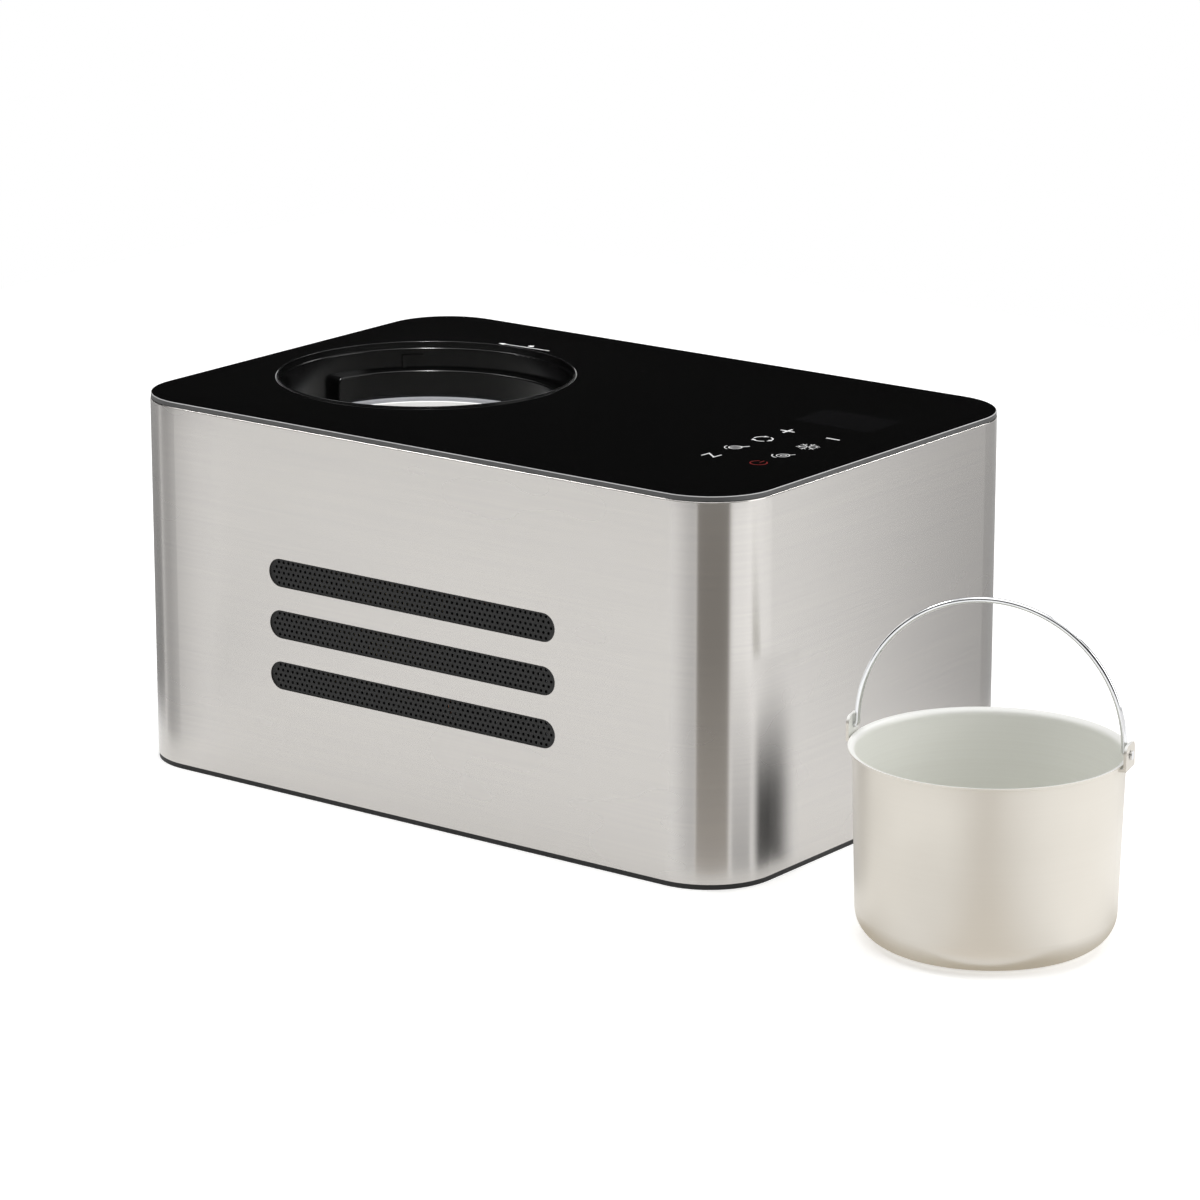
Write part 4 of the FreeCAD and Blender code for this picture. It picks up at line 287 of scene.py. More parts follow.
@dataclass(frozen=True)
class BareMetal(Finish):
    """Metal with no coat but its plating: an even colour with mill grain and faint stains."""

    bright: str = "#c8c8c6"
    dull: str = "#b4b3b0"
    roughness: float = 0.3
    grain_mm: tuple[float, float, float] = (1.2, 1.2, 1.2)
    depth_mm: float = 0.01

    def shade(self, tree: bpy.types.NodeTree) -> bpy.types.NodeSocket:
        """Build the mill-grain shader.

        Args:
            tree: the node tree of the material.

        Returns:
            The shader's output.
        """
        fine = grain(tree, self.grain_mm)
        stains = grain(tree, [9 * size for size in self.grain_mm])
        return add(tree, "ShaderNodeBsdfPrincipled", {
            "Base Color": blend_colours(tree, spread(tree, stains, 0.0, 1.0), self.bright, self.dull),
            "Metallic": 1.0, "Roughness": spread(tree, fine, 0.75 * self.roughness, 1.25 * self.roughness),
            "Normal": relief(tree, fine, self.depth_mm, 0.3)}).outputs[0]


@dataclass(frozen=True)
class Moulded(Finish):
    """Plastic, rubber, paint or foam: one body colour, the mould's or sprayer's texture, and a slight mottle."""

    body: str = "#161616"
    mottle: str = "#1c1c1c"
    roughness: float = 0.4
    ior: float = 1.5
    texture_mm: float = 0.4
    depth_mm: float = 0.01
    strength: float = 0.4

    def shade(self, tree: bpy.types.NodeTree) -> bpy.types.NodeSocket:
        """Build the moulded shader.

        Args:
            tree: the node tree of the material.

        Returns:
            The shader's output.
        """
        texture = grain(tree, (self.texture_mm,) * 3)
        clouds = grain(tree, (30 * self.texture_mm,) * 3)
        return add(tree, "ShaderNodeBsdfPrincipled", {
            "Base Color": blend_colours(tree, spread(tree, clouds, 0.0, 1.0), self.body, self.mottle),
            "IOR": self.ior, "Roughness": spread(tree, texture, 0.85 * self.roughness, 1.15 * self.roughness),
            "Normal": relief(tree, texture, self.depth_mm, self.strength)}).outputs[0]


@dataclass(frozen=True)
class BlackGlass(Finish):
    """Float glass with black print under it: deep black, sharp reflections, ground grey edges with a painted
    highlight on the arris, a few specks of dust.
    """

    black: str = "#030303"
    dust: str = "#3a3a3a"
    side: str = "#4c4c4c"
    arris_highlight: str = "#c4c4c4"
    speck_mm: float = 9.0
    speck_size: float = 0.045
    wipe_mm: tuple[float, float, float] = (35.0, 6.0, 35.0)
    roughness: float = 0.03
    ground_roughness: float = 0.35
    ground_tilt: Point = (0.94, 0.997)
    arris_highlight_tilt: Point = (0.2, 0.6)

    def shade(self, tree: bpy.types.NodeTree) -> bpy.types.NodeSocket:
        """Build the glass shader.

        Args:
            tree: the node tree of the material.

        Returns:
            The shader's output.
        """
        place = add(tree, "ShaderNodeTexCoord")
        specks = add(tree, "ShaderNodeTexVoronoi", {
            "Vector": place.outputs["Object"], "Scale": 1 / (self.speck_mm * MM), "Randomness": 1.0})
        dust = spread(tree, specks.outputs["Distance"], 1.0, 0.0, 0.6 * self.speck_size, self.speck_size)
        wipe = grain(tree, self.wipe_mm)
        tilt = add(tree, "ShaderNodeSeparateXYZ", {0: place.outputs["Normal"]}).outputs["Z"]
        ground = spread(tree, tilt, 1.0, 0.0, *self.ground_tilt)
        # The arris faces half up, so its light colour is a painted highlight on the ground grey edge.
        edge = blend_colours(tree, spread(tree, tilt, 0.0, 1.0, *self.arris_highlight_tilt), self.side, self.arris_highlight)
        rough = add(tree, "ShaderNodeMath", {
            0: spread(tree, wipe, self.roughness, 2 * self.roughness),
            1: spread(tree, ground, 0.0, self.ground_roughness, 0.0, 1.0)}, operation="ADD")
        return add(tree, "ShaderNodeBsdfPrincipled", {
            "Base Color": blend_colours(tree, ground, blend_colours(tree, dust, self.black, self.dust), edge),
            "IOR": 1.5, "Roughness": rough.outputs[0]}).outputs[0]


@dataclass(frozen=True)
class WovenLaminate(Finish):
    """Glass cloth in green resin, with the cloth's weave just showing."""

    resin: str = "#1f5a35"
    cloth: str = "#2a6a42"
    thread_mm: float = 0.8

    def shade(self, tree: bpy.types.NodeTree) -> bpy.types.NodeSocket:
        """Build the laminate's shader.

        Args:
            tree: the node tree of the material.

        Returns:
            The shader's output.
        """
        place = add(tree, "ShaderNodeTexCoord")
        weave = add(tree, "ShaderNodeTexChecker",
                    {"Vector": place.outputs["Object"], "Scale": 1 / (self.thread_mm * MM)})
        clouds = grain(tree, (15.0, 15.0, 15.0))
        cloth = blend_colours(tree, weave.outputs["Fac"], self.resin, self.cloth)
        return add(tree, "ShaderNodeBsdfPrincipled", {
            "Base Color": cloth, "Roughness": spread(tree, clouds, 0.25, 0.4), "IOR": 1.55,
            "Normal": relief(tree, weave.outputs["Fac"], 0.01, 0.2)}).outputs[0]


@dataclass(frozen=True)
class Card(Finish):
    """Glowing studio card that paints a reflection: its set glow is a painted shade or a painted highlight, and it
    turns to the floor's white towards its edges.
    """

    low: float = 0.3
    high: float = 0.3
    tint: str = "#ffffff"
    fades: tuple[float, float, float, float] = (0.1, 0.1, 0.1, 0.1)
    around: float = 1.15

    def material(self) -> bpy.types.Material:
        """Make the card's material, which only reflections meet, so the lamps alone are drawn as light.

        Returns:
            The card's material.
        """
        card = super().material()
        card.cycles.emission_sampling = "NONE"
        return card

    def shade(self, tree: bpy.types.NodeTree) -> bpy.types.NodeSocket:
        """Build the card's shader, in the card's own coordinates from -0.5 to 0.5.

        Args:
            tree: the node tree of the material.

        Returns:
            The shader's output.
        """
        place = add(tree, "ShaderNodeTexCoord")
        axes = add(tree, "ShaderNodeSeparateXYZ", {0: place.outputs["Object"]})
        share = None
        for axis, edge, fade in zip("XXYY", (-0.5, 0.5, -0.5, 0.5), self.fades):
            ramp = add(tree, "ShaderNodeMapRange", {
                "Value": axes.outputs[axis], "From Min": edge, "From Max": edge - math.copysign(fade, edge),
                "To Min": 0.0, "To Max": 1.0}, interpolation_type="SMOOTHSTEP").outputs[0]
            share = ramp if share is None else add(tree, "ShaderNodeMath", {0: share, 1: ramp},
                                                   operation="MULTIPLY").outputs[0]
        # The glow level is the painted reflection: below the floor's white it paints shade, above it a highlight.
        level = spread(tree, axes.outputs["Y"], self.low, self.high, -0.5, 0.1)
        blend = add(tree, "ShaderNodeMix", {0: share, 2: self.around, 3: level})
        tinted = blend_colours(tree, share, "#ffffff", self.tint)
        return add(tree, "ShaderNodeEmission", {"Color": tinted, "Strength": blend.outputs[0]}).outputs[0]


@dataclass(frozen=True)
class PaleFloor(Finish):
    """Matt white board that shows as white and keeps the shadow."""

    board: str = "#f1f1f0"
    lift: float = 0.4

    def shade(self, tree: bpy.types.NodeTree) -> bpy.types.NodeSocket:
        """Build the floor's shader.

        Args:
            tree: the node tree of the material.

        Returns:
            The shader's output.
        """
        matt = add(tree, "ShaderNodeBsdfDiffuse", {"Color": linear(self.board)})
        glow = add(tree, "ShaderNodeEmission", {"Color": (1.0, 1.0, 1.0, 1.0), "Strength": self.lift})
        both = add(tree, "ShaderNodeAddShader", {0: matt.outputs[0], 1: glow.outputs[0]})
        return add(tree, "ShaderNodeMixShader",
                   {0: seen(tree), 1: matt.outputs[0], 2: both.outputs[0]}).outputs[0]


def seen(tree: bpy.types.NodeTree) -> bpy.types.NodeSocket:
    """Tell a ray of the camera, a reflection or clear glass from the rays that only carry light.

    Args:
        tree: the node tree of a material or the world.

    Returns:
        An output that is 1 for a ray that shows the background, else 0.
    """
    path = add(tree, "ShaderNodeLightPath")
    share = path.outputs["Is Camera Ray"]
    for ray in ("Is Glossy Ray", "Is Transmission Ray"):
        share = add(tree, "ShaderNodeMath", {0: share, 1: path.outputs[ray]}, operation="MAXIMUM").outputs[0]
    return share


BOWL_AXIS_MM: Point = (353.5, -107.0)
WELL_AXIS_MM: Point = (-105.0, 0.0)


class Finishes(Enum):
    """Every finish on the part."""

    # Level brushing turns each reflection into an upright smear and leaves faint lines along the sheet.
    STAINLESS = BrushedSteel("brushed_stainless_steel")
    # The print under the glass hides everything below, so only reflections and dust show; its ground edges are grey,
    # with a painted highlight on the arris.
    GLASS = BlackGlass("black_backed_float_glass")
    # A polished mould leaves the collar glossy, with soft streaks of light on its steps.
    COLLAR = Moulded("polished_moulded_abs", "#040404", "#060606", roughness=0.2, ior=1.37, texture_mm=0.8,
                     depth_mm=0.004, strength=0.15)
    # A spark-eroded mould leaves a fine matt texture.
    SHELL = Moulded("spark_textured_abs", "#0d0d0d", "#121212", roughness=0.6, ior=1.46, texture_mm=0.35,
                    depth_mm=0.02, strength=0.5)
    # Powder coat on the perforated strips is dark grey with a slight orange peel.
    MESH = Moulded("powder_coated_perforated_steel", "#191919", "#1d1d1d", roughness=0.6, ior=1.42, texture_mm=0.3,
                   depth_mm=0.02, strength=0.35)
    # Natural nylon is milky and dull.
    NYLON = Moulded("moulded_natural_nylon", "#e4e2da", "#d9d6cc", roughness=0.45, ior=1.53, texture_mm=0.5,
                    depth_mm=0.01, strength=0.3)
    # Pressed silicone is grey and almost matt.
    SEAL = Moulded("pressed_silicone_rubber", "#76777a", "#808184", roughness=0.6, ior=1.41, texture_mm=0.3,
                   depth_mm=0.015, strength=0.4)
    # Moulded nitrile is black with a dusty bloom.
    RUBBER = Moulded("moulded_nitrile_rubber", "#1b1b1b", "#262626", roughness=0.75, ior=1.52, texture_mm=0.5,
                     depth_mm=0.03, strength=0.5)
    # The drawn chamber is bright, with fine rings from the die; its faces that look up wear a slight painted
    # highlight.
    CHAMBER = TurnedMetal("deep_drawn_aluminium", WELL_AXIS_MM, outside="#e9e9e7", inside="#cfcfcd", top_highlight="#d8d8d6",
                          roughness=0.36, ring_mm=0.8, ring_depth_mm=0.004, ring_shade="#c8c8c6", ring_share=0.2,
                          metal_inside=0.1)
    # Blasting and anodising leave the bowl matt and warm outside and a cooler grey inside. The inside is also painted
    # lighter than the outside to make up for the shade in the hollow, and faces that look up, the rim among them,
    # wear a painted highlight.
    BOWL = TurnedMetal("blasted_anodised_aluminium", BOWL_AXIS_MM, outside="#d6d1c8", inside="#e9eae4",
                       top_highlight="#f6f6f3", roughness=0.42, ring_mm=1.2, ring_depth_mm=0.001, ring_shade="#ccc6bc",
                       ring_share=0.08, metal_inside=0.05, metal_outside=0.8)
    # Rolled fin stock is thin, bright and slightly rippled.
    FINS = BareMetal("rolled_fin_aluminium", "#d6d7d8", "#c2c4c6", roughness=0.3, grain_mm=(2.0, 2.0, 8.0),
                     depth_mm=0.02)
    # Zinc plating is grey with a faint blue-yellow cast.
    ZINC = BareMetal("zinc_plated_steel", "#c3c5c9", "#b9b7ad", roughness=0.34, grain_mm=(1.0, 1.0, 1.0),
                     depth_mm=0.01)
    # Chromium on drawn wire mirrors the whole room.
    CHROME = BareMetal("chrome_plated_wire", "#e2e3e4", "#dadbdd", roughness=0.1, grain_mm=(2.0, 2.0, 2.0),
                       depth_mm=0.002)
    # Turned brass is yellow with fine tool marks.
    BRASS = BareMetal("turned_brass", "#d9b871", "#c9a35c", roughness=0.28, grain_mm=(0.6, 0.6, 0.6),
                      depth_mm=0.008)
    # Drawn copper dulls to brown in patches.
    COPPER = BareMetal("drawn_copper_tube", "#d99a78", "#b4704f", roughness=0.3, grain_mm=(1.5, 1.5, 1.5),
                       depth_mm=0.01)
    # Stoved enamel on the compressor is black, half glossy, with a little orange peel.
    ENAMEL = Moulded("stoved_black_enamel", "#0f0f10", "#161617", roughness=0.3, ior=1.5, texture_mm=1.5,
                     depth_mm=0.03, strength=0.4)
    # Moulded polyurethane foam is cream with fine cells.
    FOAM = Moulded("moulded_polyurethane_foam", "#d9cfae", "#cbbd94", roughness=0.85, ior=1.45, texture_mm=0.9,
                   depth_mm=0.15, strength=0.8)
    # Laminate shows green resin over its glass cloth.
    LAMINATE = WovenLaminate("woven_glass_laminate")
    # Cases of the board's parts are dark moulded epoxy.
    CASES = Moulded("moulded_epoxy_cases", "#242528", "#303236", roughness=0.45, ior=1.55, texture_mm=0.4,
                    depth_mm=0.01, strength=0.4)
    # Extruded sheath is smooth dark vinyl.
    SHEATH = Moulded("extruded_vinyl_sheath", "#1e1e20", "#29292c", roughness=0.42, ior=1.52, texture_mm=0.6,
                     depth_mm=0.008, strength=0.3)
    # Screen-printed ink is a thin even white with slight mottling.
    WHITE_INK = Moulded("screen_printed_white_ink", "#fbfbfb", "#f1f1f1", roughness=0.4, ior=1.5, texture_mm=0.3,
                        depth_mm=0.002, strength=0.2)
    # The power mark is printed in a dull red.
    RED_INK = Moulded("screen_printed_red_ink", "#7c0f0a", "#6e0c08", roughness=0.6, ior=1.3, texture_mm=0.3,
                      depth_mm=0.002, strength=0.2)
    # The window over the display has thinner print, so it is a shade lighter than the glass.
    WINDOW = Moulded("thin_printed_display_window", "#0c0c0d", "#101011", roughness=0.07, ior=1.5, texture_mm=4.0,
                     depth_mm=0.0005, strength=0.05)

    def on(self, *nodes: str) -> None:
        """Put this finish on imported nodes.

        Args:
            nodes: the nodes' names.
        """
        for node in nodes:
            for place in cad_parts[node].material_slots:
                place.material = self.value.material()
            log.info("%s wears %s", node, self.value.name)


def arc(middle: Point, radius: float, start: float, stop: float, flatten: float = 1.0, turn: float = 0.0,
        steps: int = 24) -> list[Point]:
    """Points on a circular or flattened arc.

    Args:
        middle: the arc's centre.
        radius: its radius.
        start: its first angle in degrees.
        stop: its last angle in degrees.
        flatten: the share that its second axis keeps.
        turn: how far the whole arc is turned, in degrees.
        steps: how many runs it has.

    Returns:
        The points in order.
    """
    across, along = math.cos(math.radians(turn)), math.sin(math.radians(turn))
    points = []
    for step in range(steps + 1):
        angle = math.radians(start + (stop - start) * step / steps)
        u, v = radius * math.cos(angle), flatten * radius * math.sin(angle)
        points.append((middle[0] + u * across - v * along, middle[1] + u * along + v * across))
    return points


@dataclass(frozen=True)
class Stroke:
    """One printed line: its points in millimetres, its width, and whether it closes."""

    points: Sequence[Point]
    width: float = 1.1
    closed: bool = False

    CAP_STEPS = 5

    def stations(self) -> list[tuple[Vector, Vector, float]]:
        """Work out the line's cross sections, with mitred corners and round or pointed ends.

        Returns:
            A centre, a sideways direction and a half width for each section.
        """
        line = [Vector(point) for point in self.points]
        count = len(line)
        sections = []
        for index, here in enumerate(line):
            before = line[index - 1] if index or self.closed else None
            after = line[(index + 1) % count] if index + 1 < count or self.closed else None
            ends = ((before, here), (here, after))
            runs = [(b - a).normalized() for a, b in ends if a is not None and b is not None]
            course = sum(runs, Vector((0.0, 0.0))).normalized()
            mitre = max(0.4, course.dot(runs[0]))
            sections.append((here, Vector((-course.y, course.x)), self.width / 2 / mitre))
        if self.closed:
            return sections
        return self.end(sections[0], -1.0) + sections + self.end(sections[-1], 1.0)

    def end(self, section: tuple[Vector, Vector, float], sign: float) -> list[tuple[Vector, Vector, float]]:
        """Round off one end of the line.

        Args:
            section: the last full section.
            sign: 1 at the line's end, -1 at its start.

        Returns:
            The sections of the cap, in the line's order.
        """
        here, side, half = section
        course = Vector((side.y, -side.x)) * sign
        cap = []
        for step in range(1, self.CAP_STEPS + 1):
            angle = math.radians(85.0 * step / self.CAP_STEPS)
            cap.append((here + course * half * math.sin(angle), side, half * math.cos(angle)))
        return cap if sign > 0 else cap[::-1]

    def build(self, mesh: bmesh.types.BMesh, low: float, high: float) -> None:
        """Add the line to a mesh as a thin closed strip.

        Args:
            mesh: the mesh that takes it.
            low: the strip's underside.
            high: its top.
        """
        rings = []
        for here, side, half in self.stations():
            corners = [(here + side * half, low), (here - side * half, low),
                       (here - side * half, high), (here + side * half, high)]
            rings.append([mesh.verts.new((at.x * MM, at.y * MM, level)) for at, level in corners])
        pairs = list(zip(rings, rings[1:] + rings[:1] if self.closed else rings[1:]))
        for first, second in pairs:
            for corner in range(4):
                following = (corner + 1) % 4
                mesh.faces.new((first[corner], first[following], second[following], second[corner]))
        if not self.closed:
            mesh.faces.new(rings[0][::-1])
            mesh.faces.new(rings[-1])


def arrow_head(tip: Point, angle: float, length: float, width: float) -> Stroke:
    """A small solid arrow head.

    Args:
        tip: its point.
        angle: the way it points, in degrees.
        length: its length.
        width: its width at the back.

    Returns:
        A chevron stroke that fills the head.
    """
    course = Vector((math.cos(math.radians(angle)), math.sin(math.radians(angle))))
    side = Vector((-course.y, course.x))
    back = Vector(tip) - course * length
    wing, other = back + side * width / 2, back - side * width / 2
    return Stroke(((wing.x, wing.y), tip, (other.x, other.y)), 0.55 * width)


class Mark(Enum):
    """The printed marks: where each is centred on the glass, and its lines."""

    zigzag_mark = ((142.0, -59.6), (
        Stroke(((-4.0, -3.2), (-3.5, 2.9), (3.5, -2.7), (4.0, 3.4)), 0.95),))
    whisk_mark = ((142.0, -36.6), (
        Stroke(arc((-0.3, -0.6), 3.7, 0, 360, 0.95, 52.0), 0.5, True),
        Stroke(arc((-0.3, -0.6), 3.6, 0, 360, 0.35, 52.0), 0.45, True),
        Stroke(((2.0, 2.4), (4.4, 5.5)), 1.0),
        Stroke(arc((-0.6, -0.8), 5.5, 175, 255), 0.55)))
    turning_mark = ((142.3, -12.2), tuple(
        stroke for start in (81.0, 201.0, 321.0) for stroke in (
            Stroke(arc((0.0, 0.0), 5.4, start - 13, start - 86), 0.9),
            arrow_head(arc((0.0, 0.0), 5.4, start - 104, start - 104)[0], start - 190, 1.8, 1.5))))
    plus_mark = ((142.3, 11.0), (
        Stroke(((-3.9, 0.0), (3.9, 0.0)), 1.4), Stroke(((0.0, -3.9), (0.0, 3.9)), 1.4)))
    power_mark = ((172.3, -58.2), (
        Stroke(arc((0.0, 0.0), 4.6, 122, 418), 0.7), Stroke(((0.0, 1.2), (0.0, 4.9)), 0.7)))
    stirrer_mark = ((172.7, -36.6), (
        Stroke(arc((0.4, -0.3), 3.6, 0, 360, 0.95, 55.0), 0.5, True),
        Stroke(arc((0.6, 0.0), 1.7, 0, 360, 0.7, 55.0), 0.5, True),
        Stroke(((2.6, 2.6), (4.4, 5.3)), 0.5),
        Stroke(arc((0.0, -0.6), 5.5, 190, 268), 0.65)))
    snowflake_mark = ((172.3, -12.3), tuple(
        stroke for turn in range(30, 390, 60) for stroke in (
            Stroke((arc((0.0, 0.0), 0.9, turn, turn)[0], arc((0.0, 0.0), 6.4, turn, turn)[0]), 0.5),
            Stroke((arc((0.0, 0.0), 5.6, turn + 19, turn + 19)[0], arc((0.0, 0.0), 3.9, turn, turn)[0],
                    arc((0.0, 0.0), 5.6, turn - 19, turn - 19)[0]), 0.4))))
    minus_mark = ((172.8, 10.6), (Stroke(((-3.8, 0.0), (3.8, 0.0)), 1.4),))
    closing_arrow_mark = ((-105.2, 92.0), (
        Stroke(((17.6, 0.75), (-15.0, -0.65)), 0.55), arrow_head((-17.6, -0.77), 182.5, 2.6, 1.9)))
    padlock_mark = ((-103.5, 96.9), (
        Stroke(((-1.2, -1.2), (1.2, -1.2)), 1.4), Stroke(arc((0.0, -0.2), 1.1, 0, 180), 0.45)))

    @property
    def finish(self) -> Finishes:
        """Red for the power mark, white for the rest."""
        return Finishes.RED_INK if self is Mark.power_mark else Finishes.WHITE_INK


def new_piece(name: str, mesh: bmesh.types.BMesh, finish: Finishes) -> bpy.types.Object:
    """Turn a finished mesh into a piece of the scene.

    Args:
        name: the piece's name.
        mesh: its mesh, which is used up.
        finish: what it wears.

    Returns:
        The piece.
    """
    bmesh.ops.recalc_face_normals(mesh, faces=mesh.faces)
    data = bpy.data.meshes.new(name)
    mesh.to_mesh(data)
    mesh.free()
    data.materials.append(finish.value.material())
    piece = bpy.data.objects.new(name, data)
    bpy.context.scene.collection.objects.link(piece)
    return piece


@dataclass
class GlassTop:
    """The black glass top with its printed marks and the window of the display."""

    ink_mm: float = 0.03
    ink_step_mm: float = 0.002
    window_corner_mm: Point = (129.0, 35.0)
    window_size_mm: Point = (51.0, 33.0)
    window_radius_mm: float = 3.0
    window_mm: float = 0.01
    ink_gap_mm: float = 0.002
    window_gap_mm: float = 0.001

    def dress(self) -> None:
        """Give the glass its finish."""
        Finishes.GLASS.on("top_glass")

    def build(self) -> None:
        """Print every mark and the window on the glass."""
        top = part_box("top_glass")[1].z
        for mark in Mark:
            middle, strokes = mark.value
            mesh = bmesh.new()
            for layer, stroke in enumerate(strokes):
                stroke.build(mesh, top + self.ink_gap_mm * MM, top + (self.ink_mm + layer * self.ink_step_mm) * MM)
            bmesh.ops.translate(mesh, verts=mesh.verts, vec=(middle[0] * MM, middle[1] * MM, 0.0))
            self.place(new_piece(mark.name, mesh, mark.finish))
        self.place(self.window(top))

    def window(self, top: float) -> bpy.types.Object:
        """Make the display's window as a thin rounded plate.

        Args:
            top: the height of the glass.

        Returns:
            The window.
        """
        mesh = bmesh.new()
        radius = self.window_radius_mm
        outline = []
        for corner in range(4):
            x = self.window_corner_mm[0] + (self.window_size_mm[0] - radius if corner in (0, 3) else radius)
            y = self.window_corner_mm[1] + (self.window_size_mm[1] - radius if corner in (0, 1) else radius)
            outline += arc((x, y), radius, 90 * corner, 90 * corner + 90, steps=8)
        low = top + self.window_gap_mm * MM
        face = mesh.faces.new([mesh.verts.new((x * MM, y * MM, low)) for x, y in outline])
        raised = bmesh.ops.extrude_face_region(mesh, geom=[face], use_keep_orig=True)["geom"]
        bmesh.ops.translate(mesh, verts=[part for part in raised if isinstance(part, bmesh.types.BMVert)],
                            vec=(0.0, 0.0, self.window_mm * MM))
        return new_piece("display_window", mesh, Finishes.WINDOW)

    def place(self, piece: bpy.types.Object) -> None:
        """Let a printed piece ride on the machine.

        Args:
            piece: a mark or the window.
        """
        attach(piece, "machine")
        log.info("%s is printed on the glass", piece.name)


@dataclass
class Housing:
    """The steel wrap, its grilles, the base and what holds them."""

    plastic: tuple[str, ...] = ("base_tray", "top_frame", "mains_inlet")
    fasteners: tuple[str, ...] = ("base_screws", "frame_screws", "tie_posts", "partition_plate")

    def dress(self) -> None:
        """Give each part of the housing its finish."""
        Finishes.STAINLESS.on("steel_sleeve")
        Finishes.MESH.on("front_grille", "rear_grille")
        Finishes.SHELL.on(*self.plastic)
        Finishes.ZINC.on(*self.fasteners)
        Finishes.RUBBER.on("rubber_pads")
        Finishes.BRASS.on("inlet_pins")


@dataclass
class ColdWell:
    """The collar, the cold chamber and the foam round it."""

    screws: tuple[str, ...] = ("chamber_screws", "chamber_sensor")

    def dress(self) -> None:
        """Give each part of the well its finish."""
        Finishes.COLLAR.on("collar_ring")
        Finishes.SEAL.on("chamber_seal")
        Finishes.CHAMBER.on("chamber_liner")
        Finishes.COPPER.on("evaporator_coil")
        Finishes.FOAM.on("foam_front", "foam_rear")
        Finishes.NYLON.on("well_stand")
        Finishes.ZINC.on(*self.screws)


@dataclass
class CoolingCircuit:
    """The compressor, the condenser with its fan, and the pipes between them."""

    enamelled: tuple[str, ...] = ("compressor_lower_shell", "compressor_upper_shell")
    pipes: tuple[str, ...] = ("discharge_line", "suction_line", "liquid_line", "capillary_tube", "condenser_coil",
                              "filter_drier")
    plated: tuple[str, ...] = ("compressor_base_plate", "compressor_bolts", "condenser_end_plates", "drier_clip",
                               "fan_screws")
    plastic: tuple[str, ...] = ("compressor_terminal_cover", "fan_shroud", "fan_frame", "fan_rotor", "fan_stator")

    def dress(self) -> None:
        """Give each part of the circuit its finish."""
        Finishes.ENAMEL.on(*self.enamelled)
        Finishes.COPPER.on(*self.pipes)
        Finishes.ZINC.on(*self.plated)
        Finishes.FINS.on("condenser_fins")
        Finishes.SHELL.on(*self.plastic)
        Finishes.RUBBER.on("compressor_grommets")


@dataclass
class Electrics:
    """The boards, their parts and the leads."""

    boards: tuple[str, ...] = ("power_board", "touch_board")
    cases: tuple[str, ...] = ("board_components", "power_transformer", "display_module")
    plated: tuple[str, ...] = ("touch_springs", "touch_board_screws")

    def dress(self) -> None:
        """Give each electric part its finish."""
        Finishes.LAMINATE.on(*self.boards)
        Finishes.CASES.on(*self.cases)
        Finishes.ZINC.on(*self.plated)
        Finishes.NYLON.on("board_standoffs")
        Finishes.SHEATH.on("wiring_harness")


@dataclass
class Bowl:
    """The removable bowl with its wire bail."""

    ears: tuple[str, ...] = ("bail_ear_left", "bail_ear_right")

    def dress(self) -> None:
        """Give the bowl, its ears and its bail their finishes."""
        Finishes.BOWL.on("bowl")
        Finishes.BOWL.on(*self.ears)
        Finishes.CHROME.on("bail_wire")


